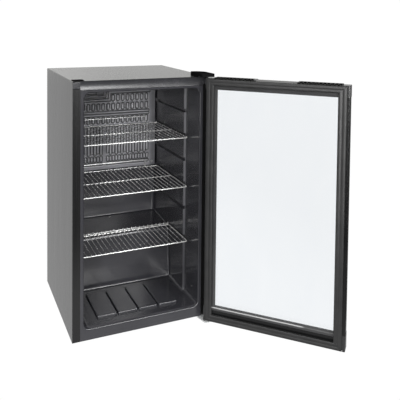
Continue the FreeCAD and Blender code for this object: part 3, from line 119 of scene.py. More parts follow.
def round_path(points, bend, steps=6):
    """Straight runs joined by arcs of one radius."""
    pts = [Vector(p) for p in points]
    out = [pts[0]]
    for i in range(1, len(pts) - 1):
        a = (pts[i - 1] - pts[i]).normalized()
        b = (pts[i + 1] - pts[i]).normalized()
        dot = max(-1.0, min(1.0, a.dot(b)))
        if dot < -0.9999:
            out.append(pts[i])
            continue
        half = math.acos(dot) / 2
        back = min(bend / math.tan(half), 0.49 * (pts[i] - pts[i - 1]).length,
                   0.49 * (pts[i + 1] - pts[i]).length)
        r = back * math.tan(half)
        c = pts[i] + (a + b).normalized() * (r / math.sin(half))
        p1, p2 = pts[i] + a * back - c, pts[i] + b * back - c
        total = p1.angle(p2)
        for k in range(steps + 1):
            t = k / steps
            s1 = math.sin((1 - t) * total) / math.sin(total)
            s2 = math.sin(t * total) / math.sin(total)
            out.append(c + p1 * s1 + p2 * s2)
    out.append(pts[-1])
    return out


def sweep(path, radius, ring=10, closed=False, caps=True):
    """Vertices and faces of a round bar along a path, with domed ends."""
    pts = [Vector(p) for p in path]
    radii = [radius] * len(pts) if not hasattr(radius, "__len__") else list(radius)
    n = len(pts)
    tang = []
    for i in range(n):
        if closed:
            t = pts[(i + 1) % n] - pts[i - 1]
        else:
            t = pts[min(i + 1, n - 1)] - pts[max(i - 1, 0)]
        tang.append(t.normalized())
    ref = Vector((0, 0, 1)) if abs(tang[0].z) < 0.9 else Vector((1, 0, 0))
    u = ref.cross(tang[0]).normalized()
    frames = []
    for i in range(n):
        u = (u - tang[i] * u.dot(tang[i])).normalized()
        frames.append((u.copy(), tang[i].cross(u).normalized()))
    rings, verts, faces = [], [], []

    def add_ring(c, a, b, r):
        base = len(verts)
        for k in range(ring):
            w = 2 * math.pi * k / ring
            verts.append(tuple(c + a * (r * math.cos(w)) + b * (r * math.sin(w))))
        rings.append(base)

    if not closed and caps:
        for s in (0.35, 0.75):
            add_ring(pts[0] - tang[0] * (radii[0] * (1 - s) * 0.5), *frames[0], radii[0] * math.sqrt(1 - (1 - s) ** 2))
    for i in range(n):
        add_ring(pts[i], *frames[i], radii[i])
    if not closed and caps:
        for s in (0.75, 0.35):
            add_ring(pts[-1] + tang[-1] * (radii[-1] * (1 - s) * 0.5), *frames[-1], radii[-1] * math.sqrt(1 - (1 - s) ** 2))
    m = len(rings)
    for i in range(m if closed else m - 1):
        a, b = rings[i], rings[(i + 1) % m]
        for k in range(ring):
            k2 = (k + 1) % ring
            faces.append((a + k, a + k2, b + k2, b + k))
    if not closed:
        faces.append(tuple(rings[0] + k for k in reversed(range(ring))))
        faces.append(tuple(rings[-1] + k for k in range(ring)))
    return verts, faces


def join(parts):
    verts, faces = [], []
    for v, f in parts:
        base = len(verts)
        verts += [tuple(p) for p in v]
        faces += [tuple(base + i for i in q) for q in f]
    return verts, faces


def lathe(profile, centre, steps=48):
    """Solid of revolution about a vertical axis. profile holds (radius, z)."""
    cx, cy = centre
    verts, faces = [], []
    idx = []
    for r, z in profile:
        if r < 1e-6:
            idx.append([len(verts)] * steps)
            verts.append((cx, cy, z))
        else:
            row = []
            for k in range(steps):
                a = 2 * math.pi * k / steps
                row.append(len(verts))
                verts.append((cx + r * math.cos(a), cy + r * math.sin(a), z))
            idx.append(row)
    for i in range(len(profile) - 1):
        for k in range(steps):
            k2 = (k + 1) % steps
            q = [idx[i][k], idx[i][k2], idx[i + 1][k2], idx[i + 1][k]]
            q = [v for j, v in enumerate(q) if v not in q[:j]]
            if len(q) > 2:
                faces.append(tuple(q))
    return verts, faces


def rounded_bar(x0, x1, y0, y1, z0, z1, r=1.5, n=3):
    """A block with every edge and corner rounded."""
    bm = bmesh.new()
    bmesh.ops.create_cube(bm, size=1.0)
    for v in bm.verts:
        v.co = Vector((x0 + (v.co.x + 0.5) * (x1 - x0), y0 + (v.co.y + 0.5) * (y1 - y0), z0 + (v.co.z + 0.5) * (z1 - z0)))
    bmesh.ops.bevel(bm, geom=bm.edges[:], offset=r, segments=n, profile=0.5, affect="EDGES", clamp_overlap=True)
    bm.verts.index_update()
    verts = [tuple(v.co) for v in bm.verts]
    faces = [tuple(v.index for v in f.verts) for f in bm.faces]
    bm.free()
    return verts, faces


# ------------------------------------------------------------------ materials
class Mat:
    """A short way to write node materials. Coordinates are row metres."""

    def __init__(self, name):
        self.m = bpy.data.materials.new(name)
        self.m.use_nodes = True
        self.t = self.m.node_tree
        self.t.nodes.clear()
        self.out = self.t.nodes.new("ShaderNodeOutputMaterial")
        self.b = self.t.nodes.new("ShaderNodeBsdfPrincipled")
        self.t.links.new(self.b.outputs[0], self.out.inputs[0])
        self.co = self.t.nodes.new("ShaderNodeTexCoord").outputs["Object"]
        self.bumps = []

    def node(self, kind, **inputs):
        n = self.t.nodes.new(kind)
        for k, v in inputs.items():
            self.put(n, k, v)
        return n

    def put(self, n, key, v):
        sock = n.inputs[int(key[1:])] if key[0] == "_" and key[1:].isdigit() else n.inputs[key.replace("_", " ")]
        if isinstance(v, bpy.types.NodeSocket):
            self.t.links.new(v, sock)
        else:
            sock.default_value = v

    def scaled(self, sx, sy, sz, rot=(0, 0, 0)):
        n = self.node("ShaderNodeMapping", Vector=self.co, Scale=(sx, sy, sz), Rotation=rot)
        return n.outputs[0]

    def noise(self, vec, scale=1.0, detail=3.0, rough=0.5, dist=0.0):
        n = self.node("ShaderNodeTexNoise", Vector=vec, Scale=scale, Detail=detail, Roughness=rough, Distortion=dist)
        return n.outputs["Fac"]

    def voronoi(self, vec, scale=1.0, feature="F1"):
        n = self.t.nodes.new("ShaderNodeTexVoronoi")
        n.feature = feature
        self.put(n, "Vector", vec)
        self.put(n, "Scale", scale)
        return n.outputs["Distance"]

    def ramp(self, fac, stops):
        n = self.t.nodes.new("ShaderNodeValToRGB")
        e = n.color_ramp.elements
        while len(e) < len(stops):
            e.new(0.5)
        for i, (pos, col) in enumerate(stops):
            e[i].position = pos
            e[i].color = (col, col, col, 1) if not hasattr(col, "__len__") else (*col[:3], 1)
        self.put(n, "Fac", fac)
        return n.outputs["Color"]

    def mapr(self, fac, a, b, c, d):
        n = self.node("ShaderNodeMapRange", _0=fac, _1=a, _2=b, _3=c, _4=d)
        return n.outputs[0]

    def math(self, op, a, b=0.0):
        n = self.t.nodes.new("ShaderNodeMath")
        n.operation = op
        self.put(n, "_0", a)
        self.put(n, "_1", b)
        return n.outputs[0]

    def mix(self, fac, a, b):
        n = self.t.nodes.new("ShaderNodeMix")
        n.data_type = "RGBA"
        self.put(n, "_0", fac)
        for i, v in ((6, a), (7, b)):
            if isinstance(v, bpy.types.NodeSocket):
                self.t.links.new(v, n.inputs[i])
            else:
                n.inputs[i].default_value = (*v[:3], 1)
        return n.outputs[2]

    def bump(self, height, dist, strength=1.0):
        n = self.node("ShaderNodeBump", Height=height, Distance=dist, Strength=strength)
        if self.bumps:
            self.put(n, "Normal", self.bumps[-1])
        self.bumps.append(n.outputs[0])
        self.put(self.b, "Normal", n.outputs[0])
        return n.outputs[0]

    def edges(self, top=0.6):
        """0 to 1, high on convex edges: light wear on moulded plastic, a painted highlight on the liner."""
        n = self.t.nodes.new("ShaderNodeNewGeometry")
        return self.mapr(n.outputs["Pointiness"], 0.503, top, 0.0, 1.0)

    def set(self, **kw):
        for k, v in kw.items():
            if k == "Base_Color" and hasattr(v, "__len__") and not isinstance(v, bpy.types.NodeSocket):
                v = (*v[:3], 1)
            self.put(self.b, k, v)
        return self


MATS = {}


def make_wrap():
    """Pre-coated steel: dark grey, a fine vertical grain and faint rolling marks."""
    m = Mat("wrap")
    grain = m.noise(m.scaled(1500, 1500, 9), 1.0, 3, 0.55)
    streak = m.noise(m.scaled(120, 120, 1.6), 1.0, 3, 0.5)
    cloud = m.noise(m.co, 5.0, 3, 0.5)
    fac = m.math("ADD", m.math("MULTIPLY", grain, 0.5), m.math("MULTIPLY", streak, 0.5))
    col = m.ramp(fac, [(0.3, (0.0025, 0.0025, 0.0026)), (0.7, (0.0048, 0.0048, 0.0049))])
    col = m.mix(m.mapr(cloud, 0.35, 0.7, 0.0, 0.35), col, (0.0040, 0.0040, 0.0039))
    m.set(Base_Color=col, Roughness=m.mapr(fac, 0.3, 0.7, 0.20, 0.29), Specular_IOR_Level=0.5, Metallic=0.0)
    m.bump(grain, 0.00004, 0.15)
    m.bump(cloud, 0.0006, 0.06)
    return m.m


def make_plastic(name, dark, light, rough, grain=0.00004, scale=2600, spec=0.5, wear=0.12, cloud_amt=0.4):
    """Moulded plastic: spark-eroded micro texture, soft flow clouds, paler edges."""
    m = Mat(name)
    g = m.voronoi(m.co, scale)
    g2 = m.noise(m.co, scale * 0.35, 4, 0.6)
    cloud = m.noise(m.co, 11.0, 3, 0.55)
    col = m.mix(m.mapr(cloud, 0.3, 0.7, 0.0, 1.0), dark, light)
    col = m.mix(m.math("MULTIPLY", m.edges(), wear), col, tuple(min(1, c * 2.6 + 0.03) for c in light))
    r = m.mapr(m.math("ADD", m.math("MULTIPLY", cloud, cloud_amt), m.math("MULTIPLY", g2, 1 - cloud_amt)), 0.3, 0.7, rough - 0.05, rough + 0.06)
    m.set(Base_Color=col, Roughness=r, Specular_IOR_Level=spec)
    m.bump(g, grain, 0.5)
    m.bump(g2, grain * 2, 0.35)
    return m.m


def make_liner():
    """Vacuum-formed styrene: near black, semi-gloss, faint orange peel and draw marks."""
    m = Mat("liner")
    peel = m.noise(m.co, 420, 2, 0.5)
    draw = m.noise(m.scaled(3, 3, 14), 1.0, 3, 0.5)
    big = m.noise(m.co, 6, 3, 0.5)
    col = m.mix(m.mapr(big, 0.3, 0.7, 0.0, 1.0), (0.0145, 0.0145, 0.0168), (0.0205, 0.0205, 0.0238))
    # painted highlight: the liner's convex edges, its lip and steps, are painted paler
    col = m.mix(m.math("MULTIPLY", m.edges(), 0.15), col, (0.06, 0.06, 0.065))
    # painted highlight: a pale line along the step in the right wall, fainter lower down
    sep = m.node("ShaderNodeSeparateXYZ", _0=m.co)
    off = m.math("ABSOLUTE", m.math("SUBTRACT", sep.outputs[1], Y0 + 0.1185))
    step_highlight = m.math("MULTIPLY", m.mapr(off, 0.0028, 0.0042, 1.0, 0.0), m.mapr(sep.outputs[0], X0 + 0.424, X0 + 0.428, 0.0, 1.0))
    step_highlight = m.math("MULTIPLY", step_highlight, m.mapr(sep.outputs[2], Z0 + 0.12, Z0 + 0.42, 0.25, 1.0))
    col = m.mix(step_highlight, col, (0.075, 0.075, 0.080))
    m.set(Base_Color=col, Roughness=m.mapr(draw, 0.3, 0.7, 0.17, 0.25), Specular_IOR_Level=0.52)
    m.bump(peel, 0.00004, 0.15)
    m.bump(draw, 0.0012, 0.12)
    return m.m


def make_metal(name, base, rough, spread=0.08, brushed=None, metallic=1.0, bump=0.00002, tint=None):
    m = Mat(name)
    vec = m.scaled(*brushed) if brushed else m.co
    g = m.noise(vec, 1.0 if brushed else 900, 3, 0.55)
    cloud = m.noise(m.co, 24, 3, 0.55)
    col = m.mix(m.mapr(cloud, 0.3, 0.7, 0.0, 1.0), base, tint or tuple(c * 0.84 for c in base))
    m.set(Base_Color=col, Metallic=metallic, Roughness=m.mapr(m.math("ADD", m.math("MULTIPLY", g, 0.5), m.math("MULTIPLY", cloud, 0.5)), 0.3, 0.7, max(0.03, rough - spread), rough + spread))
    m.bump(g, bump, 0.5)
    return m.m


def make_rubber(name, dark, light, rough=0.62, folds=None, spec=0.45):
    m = Mat(name)
    g = m.noise(m.co, 1500, 4, 0.6)
    c = m.noise(m.co, 30, 3, 0.6)
    dust = m.noise(m.co, 160, 4, 0.7)
    col = m.mix(m.mapr(c, 0.3, 0.7, 0.0, 1.0), dark, light)
    # painted shade: with folds given, points deeper than the skin are painted near black
    if folds:
        normal, deep, shallow = folds
        dot = m.t.nodes.new("ShaderNodeVectorMath")
        dot.operation = "DOT_PRODUCT"
        m.t.links.new(m.co, dot.inputs[0])
        dot.inputs[1].default_value = normal
        col = m.mix(m.mapr(dot.outputs["Value"], deep, shallow, 1.0, 0.0), col, (0.0015, 0.0015, 0.0015))
    col = m.mix(m.mapr(dust, 0.55, 0.8, 0.0, 0.25), col, tuple(v * 1.9 for v in light))
    m.set(Base_Color=col, Roughness=m.mapr(g, 0.3, 0.7, rough - 0.05, rough + 0.08), Specular_IOR_Level=spec)
    m.bump(g, 0.00006, 0.5)
    return m.m


def make_glass():
    """Float glass as a sheet without thickness: clear with a faint cool tint, a mirror-like sheen and a few smears."""
    m = Mat("glass")
    m.t.nodes.remove(m.b)
    smear = m.noise(m.scaled(14, 14, 5), 1.0, 4, 0.6, 0.6)
    fine = m.noise(m.co, 260, 3, 0.6)
    tr = m.node("ShaderNodeBsdfTransparent")
    tint = m.mix(m.mapr(smear, 0.35, 0.75, 0.0, 1.0), (0.975, 0.981, 0.986), (0.970, 0.977, 0.983))
    m.put(tr, "Color", tint)
    gl = m.node("ShaderNodeBsdfGlossy", Color=(0.97, 0.985, 1.0, 1))
    m.put(gl, "Roughness", m.mapr(m.math("ADD", m.math("MULTIPLY", smear, 0.7), m.math("MULTIPLY", fine, 0.3)), 0.35, 0.75, 0.0, 0.02))
    fr = m.node("ShaderNodeFresnel", IOR=1.45)
    mixn = m.node("ShaderNodeMixShader", _0=m.math("MULTIPLY", fr.outputs[0], 0.4), _1=tr.outputs[0], _2=gl.outputs[0])
    m.t.links.new(mixn.outputs[0], m.out.inputs[0])
    return m.m


def make_evaporator():
    m = Mat("evaporator")
    g = m.noise(m.co, 1400, 3, 0.6)
    c = m.noise(m.scaled(10, 10, 26), 1.0, 3, 0.5)
    col = m.mix(m.mapr(c, 0.3, 0.7, 0.0, 1.0), (0.112, 0.112, 0.121), (0.150, 0.150, 0.161))
    # painted shade: the plate darkens towards the right wall, which shades it
    side = m.node("ShaderNodeSeparateXYZ", _0=m.co).outputs[0]
    col = m.mix(m.mapr(side, X0 + 0.392, X0 + 0.412, 0.0, 0.6), col, (0.018, 0.018, 0.021))
    # painted shade in the pressed lines, a painted highlight on the raised channels
    depth = m.node("ShaderNodeSeparateXYZ", _0=m.co).outputs[1]
    y_base = Y0 + 0.405
    col = m.mix(m.mapr(depth, y_base - 0.0012, y_base - 0.0022, 0.0, 0.75), col, (0.27, 0.27, 0.283))
    col = m.mix(m.mapr(depth, y_base + 0.0002, y_base + 0.0008, 0.0, 0.96), col, (0.005, 0.005, 0.0055))
    m.set(Base_Color=col, Roughness=m.mapr(c, 0.3, 0.7, 0.30, 0.40), Specular_IOR_Level=0.5, Metallic=0.15)
    m.bump(g, 0.00004, 0.4)
    return m.m


def make_chrome():
    """Bright chrome plate with faint drawing lines and a little haze."""
    m = Mat("chrome_wire")
    g = m.noise(m.co, 1800, 2, 0.5)
    haze = m.noise(m.co, 55, 3, 0.6)
    col = m.mix(m.mapr(haze, 0.3, 0.7, 0.0, 1.0), (0.64, 0.64, 0.62), (0.50, 0.50, 0.50))
    m.set(Base_Color=col, Metallic=0.68, Roughness=m.mapr(haze, 0.3, 0.7, 0.18, 0.30))
    m.bump(g, 0.00002, 0.3)
    return m.m


def make_foam():
    m = Mat("foam")
    g = m.voronoi(m.co, 900)
    c = m.noise(m.co, 30, 3, 0.6)
    m.set(Base_Color=m.mix(c, (0.030, 0.027, 0.019), (0.022, 0.019, 0.013)), Roughness=0.9)
    m.bump(g, 0.0004, 0.8)
    return m.m


def make_enamel():
    m = Mat("compressor")
    peel = m.noise(m.co, 190, 3, 0.6)
    c = m.noise(m.co, 16, 3, 0.5)
    col = m.mix(c, (0.012, 0.012, 0.013), (0.022, 0.022, 0.024))
    m.set(Base_Color=col, Roughness=m.mapr(c, 0.3, 0.7, 0.22, 0.34), Coat_Weight=0.4, Coat_Roughness=0.2)
    m.bump(peel, 0.0003, 0.25)
    return m.m


MATS["wrap"] = make_wrap()
MATS["liner"] = make_liner()
MATS["trim"] = make_plastic("trim", (0.0078, 0.0080, 0.0093), (0.0125, 0.0127, 0.0146), 0.25)
MATS["cover_black"] = make_plastic("cover_black", (0.0025, 0.0025, 0.0027), (0.0045, 0.0045, 0.0047), 0.60, spec=0.0, wear=0.02)
MATS["door_frame"] = make_plastic("door_frame", (0.0050, 0.0050, 0.0052), (0.0085, 0.0085, 0.0088), 0.24)
MATS["frame_black"] = make_plastic("frame_black", (0.0016, 0.0016, 0.0017), (0.0032, 0.0032, 0.0033), 0.22, spec=0.28, wear=0.05)
MATS["door_cap"] = make_plastic("door_cap", (0.013, 0.013, 0.0132), (0.020, 0.020, 0.0203), 0.25)
MATS["white_plastic"] = make_plastic("white_plastic", (0.66, 0.66, 0.63), (0.76, 0.76, 0.74), 0.42)
MATS["lens"] = make_plastic("lens", (0.80, 0.82, 0.83), (0.88, 0.90, 0.91), 0.28)
MATS["nylon"] = make_plastic("nylon", (0.55, 0.55, 0.50), (0.66, 0.66, 0.61), 0.40)
# painted shade: the gasket's folds, lying behind its front skin as measured square to the open door, are painted near
# black
_square = _turn @ Vector((0, 1, 0))
_skin = _square.dot(PD(230, -0.8, 400))
MATS["gasket"] = make_rubber("gasket", (0.0100, 0.0100, 0.0101), (0.0155, 0.0155, 0.0156), 0.44, spec=0.3,
                             folds=(tuple(_square), _skin - 0.0038, _skin - 0.0020))
MATS["rubber"] = make_rubber("rubber", (0.018, 0.018, 0.018), (0.030, 0.030, 0.030), 0.66)
MATS["cord"] = make_rubber("cord", (0.014, 0.014, 0.015), (0.024, 0.024, 0.025), 0.48)
MATS["glass"] = make_glass()
MATS["evaporator"] = make_evaporator()
MATS["chrome_wire"] = make_chrome()
MATS["foam"] = make_foam()
MATS["compressor"] = make_enamel()
MATS["zinc_sheet"] = make_metal("zinc_sheet", (0.52, 0.53, 0.54), 0.42, 0.10, brushed=(40, 900, 900))
MATS["hinge_steel"] = make_metal("hinge_steel", (0.70, 0.71, 0.71), 0.34, 0.08, brushed=(900, 60, 900), metallic=0.55)
MATS["spacer"] = make_metal("spacer", (0.10, 0.10, 0.105), 0.40, 0.06)
MATS["screw"] = make_metal("screw", (0.50, 0.50, 0.50), 0.32, 0.08)
MATS["copper"] = make_metal("copper", (0.72, 0.36, 0.22), 0.30, 0.10, tint=(0.50, 0.26, 0.17))
MATS["black_sheet"] = make_plastic("black_sheet", (0.018, 0.018, 0.019), (0.028, 0.028, 0.030), 0.40, scale=1400)
MATS["condenser"] = make_plastic("condenser", (0.016, 0.016, 0.017), (0.028, 0.028, 0.029), 0.36, scale=1800)

SLOT_OF = {s["node"]: s["material_slot"] for s in frame["record"]["subparts"]}


def dress(ob, slot_name):
    ob.data.materials.clear()
    ob.data.materials.append(MATS[slot_name])
    if hasattr(ob.data, "polygons"):
        for p in ob.data.polygons:
            p.material_index = 0
    return ob


def stand_for(ob, body, slot_name, *nodes):
    dress(ob, slot_name)
    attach(ob, body)
    if nodes:
        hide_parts(*nodes)
    return ob


# CAD nodes that stay: smooth by angle, small edge radius, material.
SOFT = {
    "outer_shell": 0.5, "door_stile_handle_side": 1.2, "door_stile_hinge_side": 1.2, "door_rail_top": 0.7,
    "door_rail_bottom": 1.2, "door_cap_top_handle": 1.4, "door_cap_top_hinge": 1.4, "door_cap_bottom_handle": 1.4,
    "door_cap_bottom_hinge": 1.4, "glazing_bead": 0.6, "thermostat_housing": 0.5, "lamp_switch_rocker": 0.8,
    "bottom_hinge_bracket": 0.5, "top_hinge_bracket": 0.5, "compressor_mount_plate": 0.6, "evaporation_tray": 0.4,
    "cord_clamp": 0.8, "hinge_blank_cover": 0.3, "foot_insert_nuts": 0.4, "compressor_relay_cover": 1.2,
    "condenser_brackets": 0.6,
}


def make_rail_top():
    """Moulding of the top rail: matt black comb ends, satin middle grip."""
    m = Mat("rail_top")
    along = _turn @ Vector((1, 0, 0))
    dot = m.t.nodes.new("ShaderNodeVectorMath")
    dot.operation = "DOT_PRODUCT"
    m.t.links.new(m.co, dot.inputs[0])
    dot.inputs[1].default_value = along
    u = dot.outputs["Value"]
    at = lambda x: along.dot(PD(x, 0, 0))
    grip = m.math("MULTIPLY", m.mapr(u, at(160.0), at(164.0), 0.0, 1.0), m.mapr(u, at(300.0), at(304.5), 1.0, 0.0))
    g = m.voronoi(m.co, 2600)
    cloud = m.noise(m.co, 11.0, 3, 0.55)
    col = m.mix(grip, m.mix(cloud, (0.0012, 0.0012, 0.0012), (0.0030, 0.0030, 0.0030)), m.mix(cloud, (0.020, 0.020, 0.020), (0.034, 0.034, 0.034)))
    m.set(Base_Color=col, Roughness=m.mapr(cloud, 0.3, 0.7, 0.22, 0.32), Specular_IOR_Level=m.mapr(grip, 0.0, 1.0, 0.10, 0.6))
    m.bump(g, 0.00004, 0.4)
    return m.m


MATS["rail_top"] = make_rail_top()


def make_bead():
    """Extruded bead: satin black, its bevel polished, with a painted highlight along its lower edge."""
    m = Mat("bead")
    sep = m.node("ShaderNodeSeparateXYZ", _0=m.co)
    along = _turn @ Vector((1, 0, 0))
    dot = m.t.nodes.new("ShaderNodeVectorMath")
    dot.operation = "DOT_PRODUCT"
    m.t.links.new(m.co, dot.inputs[0])
    dot.inputs[1].default_value = along
    at = lambda x: along.dot(PD(x, 0, 0))
    run = m.mapr(dot.outputs["Value"], at(126.0), at(140.0), 0.0, 1.0)
    off = m.math("ABSOLUTE", m.math("SUBTRACT", sep.outputs[2], Z0 + 0.0466))
    bead_highlight = m.mapr(off, 0.0008, 0.0021, 1.0, 0.0)
    g = m.noise(m.scaled(60, 60, 900), 1.0, 3, 0.5)
    cloud = m.noise(m.co, 11.0, 3, 0.55)
    col = m.mix(cloud, (0.019, 0.019, 0.0195), (0.030, 0.030, 0.0305))
    # painted highlight: a pale line along the bead, faint towards the handle side
    col = m.mix(m.math("MULTIPLY", bead_highlight, m.mapr(run, 0.0, 1.0, 0.12, 0.95)), col, (0.25, 0.25, 0.25))
    m.set(Base_Color=col, Roughness=m.mapr(cloud, 0.3, 0.7, 0.17, 0.25))
    m.bump(g, 0.00003, 0.3)
    return m.m


MATS["bead"] = make_bead()
LOOK = {"door_rail_top": "rail_top", "top_hinge_cover": "cover_black", "hinge_blank_cover": "cover_black", "door_stile_handle_side": "frame_black",
        "door_stile_hinge_side": "frame_black", "door_rail_bottom": "frame_black", "glazing_bead": "bead", "wall_plugs": "door_cap",
        "door_cap_top_handle": "door_frame", "door_cap_bottom_handle": "door_frame"}


def keep_cad():
    for name, ob in frame["nodes"].items():
        dress(ob, SLOT_OF[name])
        if name in LOOK:
            ob.data.materials[0] = MATS[LOOK[name]]
        shade(ob, 32.0)
        width = SOFT.get(name)
        if width:
            b = ob.modifiers.new("edge", "BEVEL")
            b.width = width / 1000
            b.segments = 2
            b.limit_method = "ANGLE"
            b.angle_limit = math.radians(40)
            b.harden_normals = False
            b.use_clamp_overlap = True


keep_cad()


# -------------------------------------------------------------------- shelves
def build_shelf(name, body, node, front, back, middle, rail, low):
    lo, hi = mm(node)
    xl, xr = 42.0, 429.0
    z = lo[2] + 2.9
    parts = [sweep(round_path([(235, front, z), (xr, front, z), (xr, back, z), (xl, back, z), (xl, front, z), (235, front, z)], 9.0)[:-1],
                   1.8, 12, closed=True)]
    if middle:
        parts.append(sweep([(xl, middle, z - 0.4), (xr, middle, z - 0.4)], 1.8, 10))
    zg = z + 2.9
    for k in range(24):
        x = 48.3 + k * 16.28
        if low:
            path = round_path([(x, front + 0.6, zg), (x, back - 1.0, zg), (x, back - 1.0, zg + 8.4)], 3.0, 4)
        else:
            path = [(x, front + 0.6, zg), (x, (front + back) / 2, zg), (x, back + 1.0, zg)]
        nose = [(x, front - 2.6, zg), (x, front - 2.0, zg), (x, front - 1.0, zg), (x, front - 0.2, zg)]
        parts.append(sweep(nose + list(path), [1.6, 2.1, 2.1, 1.6] + [1.15 if low else 1.4] * len(path), 10))
        # spot-weld fillets where the grid wire crosses the bars
        for yy in (front, back) if not middle else (front, middle, back):
            parts.append(sweep([(x - 1.5, yy, z + 1.5), (x + 1.5, yy, z + 1.5)], 0.9, 8))
    if low:
        parts.append(sweep([(xl + 3, back + 1.2, z + 5.4), (xr - 3, back + 1.2, z + 5.4)], 1.2, 10))
    else:
        parts.append(sweep(round_path([(93, back, z - 1.0), (93, back, z + rail), (377, back, z + rail), (377, back, z - 1.0)], 6.0), 1.8, 12))
    ob = new_piece(name, *join(parts))
    return stand_for(ob, body, "chrome_wire", node)


build_shelf("upper_wire_shelf", "upper_shelf", "shelf_upper", 88.0, 397.0, 242.0, 28.0, False)
build_shelf("middle_wire_shelf", "middle_shelf", "shelf_middle", 88.0, 397.0, 242.0, 28.0, False)
build_shelf("lower_wire_shelf", "lower_shelf", "shelf_lower", 82.0, 258.0, None, 9.0, True)


# ----------------------------------------------------------------- evaporator
def build_evaporator():
    x0, x1, z0, z1, yf = 49.0, 421.5, 432.0, 785.0, 405.0
    step = 1.25
    nx, nz = int((x1 - x0) / step), int((z1 - z0) / step)
    xs = np.linspace(x0, x1, nx + 1)
    zs = np.linspace(z0, z1, nz + 1)
    X, Z = np.meshgrid(xs, zs, indexing="ij")

    def bar(xa, xb, za, zb, r):
        """Distance outside a rounded bar."""
        cx, cz = (xa + xb) / 2, (za + zb) / 2
        qx = np.abs(X - cx) - (xb - xa) / 2 + r
        qz = np.abs(Z - cz) - (zb - za) / 2 + r
        return np.hypot(np.maximum(qx, 0), np.maximum(qz, 0)) + np.minimum(np.maximum(qx, qz), 0) - r

    height = np.zeros_like(X)

    def emboss(d, tall=2.5, slope=2.4, moat=1.3):
        nonlocal height
        t = np.clip(-d / slope, 0, 1)
        up = tall * (t * t * (3 - 2 * t))
        down = -moat * np.exp(-((d - 2.3) / 2.1) ** 2)
        height = np.where(d < 0, np.maximum(height, up), np.minimum(height, np.where(height > 0.3, height, down)))

    # Channel pattern: rows of short upright loops under two long lines, then
    # two blocks of upright channels with a seam between them.
    for k in range(17):
        x = 64.6 + 19.75 * k
        emboss(bar(x, x + 7.6, 666.0, 688.5, 3.8))
        if x > 236:
            emboss(bar(x, x + 7.6, 700.5, 722.5, 3.8))
        emboss(bar(x, x + 7.6, 613.5, 634.5, 3.8))
    for z in (652.0, 642.0):
        emboss(bar(60, 394, z, z + 5.6, 2.7), 1.8, 2.0)
    for za, xr in ((729.0, 178.0), (716.0, 216.0), (700.5, 236.0)):
        emboss(bar(58, xr, za, za + 6.4, 3.0), 1.8, 2.2)
    emboss(bar(210, 217, 716, 748, 3.2), 1.8, 2.2)
    emboss(bar(229, 236, 700.5, 736, 3.2), 1.8, 2.2)
    emboss(bar(229, 400, 731.0, 737.4, 3.0), 1.8, 2.2)
    emboss(bar(58, 400, 752, 758.5, 3.0), 1.8, 2.2)
    for xa, xb in ((60, 207), (222, 396)):
        n = int((xb - xa) // 11.6)
        pitch = (xb - xa) / n
        for k in range(n):
            x = xa + k * pitch
            emboss(bar(x, x + pitch * 0.55, 489 if k % 2 else 495, 598, 3.2), 2.2, 2.0, 1.0)
            emboss(bar(x, x + pitch * 0.55, 464, 481, 3.2), 2.2, 2.0, 1.0)
        emboss(bar(xa, xb - 4, 450, 455.5, 2.6), 1.8, 2.0)
    edge = bar(x0 - 1, x1 + 1, z0 - 1, z1 + 1, 9.0)
    verts, faces = [], []
    for i in range(nx + 1):
        for j in range(nz + 1):
            verts.append((float(X[i, j]), yf - float(height[i, j]), float(Z[i, j])))
    n1 = nz + 1
    for i in range(nx):
        for j in range(nz):
            faces.append((i * n1 + j, (i + 1) * n1 + j, (i + 1) * n1 + j + 1, i * n1 + j + 1))
    ob = new_piece("roll_bond_evaporator", verts, faces, smooth=60.0)
    if sum(p.normal.y for p in ob.data.polygons) > 0:
        ob.data.flip_normals()
    s = ob.modifiers.new("sheet", "SOLIDIFY")
    s.thickness = 0.0014
    s.offset = -1.0
    s.use_even_offset = False
    return stand_for(ob, "cabinet", "evaporator", "evaporator_plate")


build_evaporator()


# --------------------------------------------------------------------- gasket
def ring_profile(profile, inner, place):
    """Sweep an open-ended list of (outward, y) round a mitred rectangle and close it."""
    xa, xb, za, zb = inner
    verts, faces = [], []
    n = len(profile)
    for u, y in profile:
        verts += [(xa - u, y, za - u), (xb + u, y, za - u), (xb + u, y, zb + u), (xa - u, y, zb + u)]
    for i in range(n):
        j = (i + 1) % n
        for k in range(4):
            k2 = (k + 1) % 4
            faces.append((i * 4 + k, i * 4 + k2, j * 4 + k2, j * 4 + k))
    return verts, faces


def build_gasket():
    y0 = -12.0
    prof = [
        (2.0, y0), (2.0, -10.2), (5.0, -9.2), (6.5, -7.6), (5.5, -6.0), (2.5, -4.8), (0.3, -3.6), (0.0, -2.7), (0.9, -1.9),
        (2.6, -1.25), (5.0, -0.85), (8.0, -0.9), (10.0, -1.5), (11.6, -2.1), (13.4, -2.1), (15.0, -1.5), (17.0, -0.9), (20.5, -0.85),
        (23.2, -1.2), (25.2, -2.0), (26.2, -3.2), (25.6, -4.6), (23.5, -5.8), (22.5, -7.5), (24.0, -9.5), (25.5, -10.2), (25.5, y0),
    ]
    # the ring's rails differ a little in width, so scale each side through its corners
    xa, xb, za, zb = 35.5, 440.0, 24.6, 805.0
    verts, faces = [], []
    n = len(prof)
    for u, y in prof:
        top = u * 20.5 / 26.5
        low = u * 23.0 / 26.5
        verts += [(xa - u, y, za - low), (xb + u, y, za - low), (xb + u, y, zb + top), (xa - u, y, zb + top)]
    for i in range(n):
        j = (i + 1) % n
        for k in range(4):
            k2 = (k + 1) % 4
            faces.append((i * 4 + k, i * 4 + k2, j * 4 + k2, j * 4 + k))
    ob = new_piece("magnetic_gasket", verts, faces, place=PD, smooth=50.0)
    b = ob.modifiers.new("soft", "BEVEL")
    b.width = 0.0006
    b.segments = 2
    b.limit_method = "ANGLE"
    b.angle_limit = math.radians(28)
    return stand_for(ob, "door", "gasket", "door_gasket")


build_gasket()


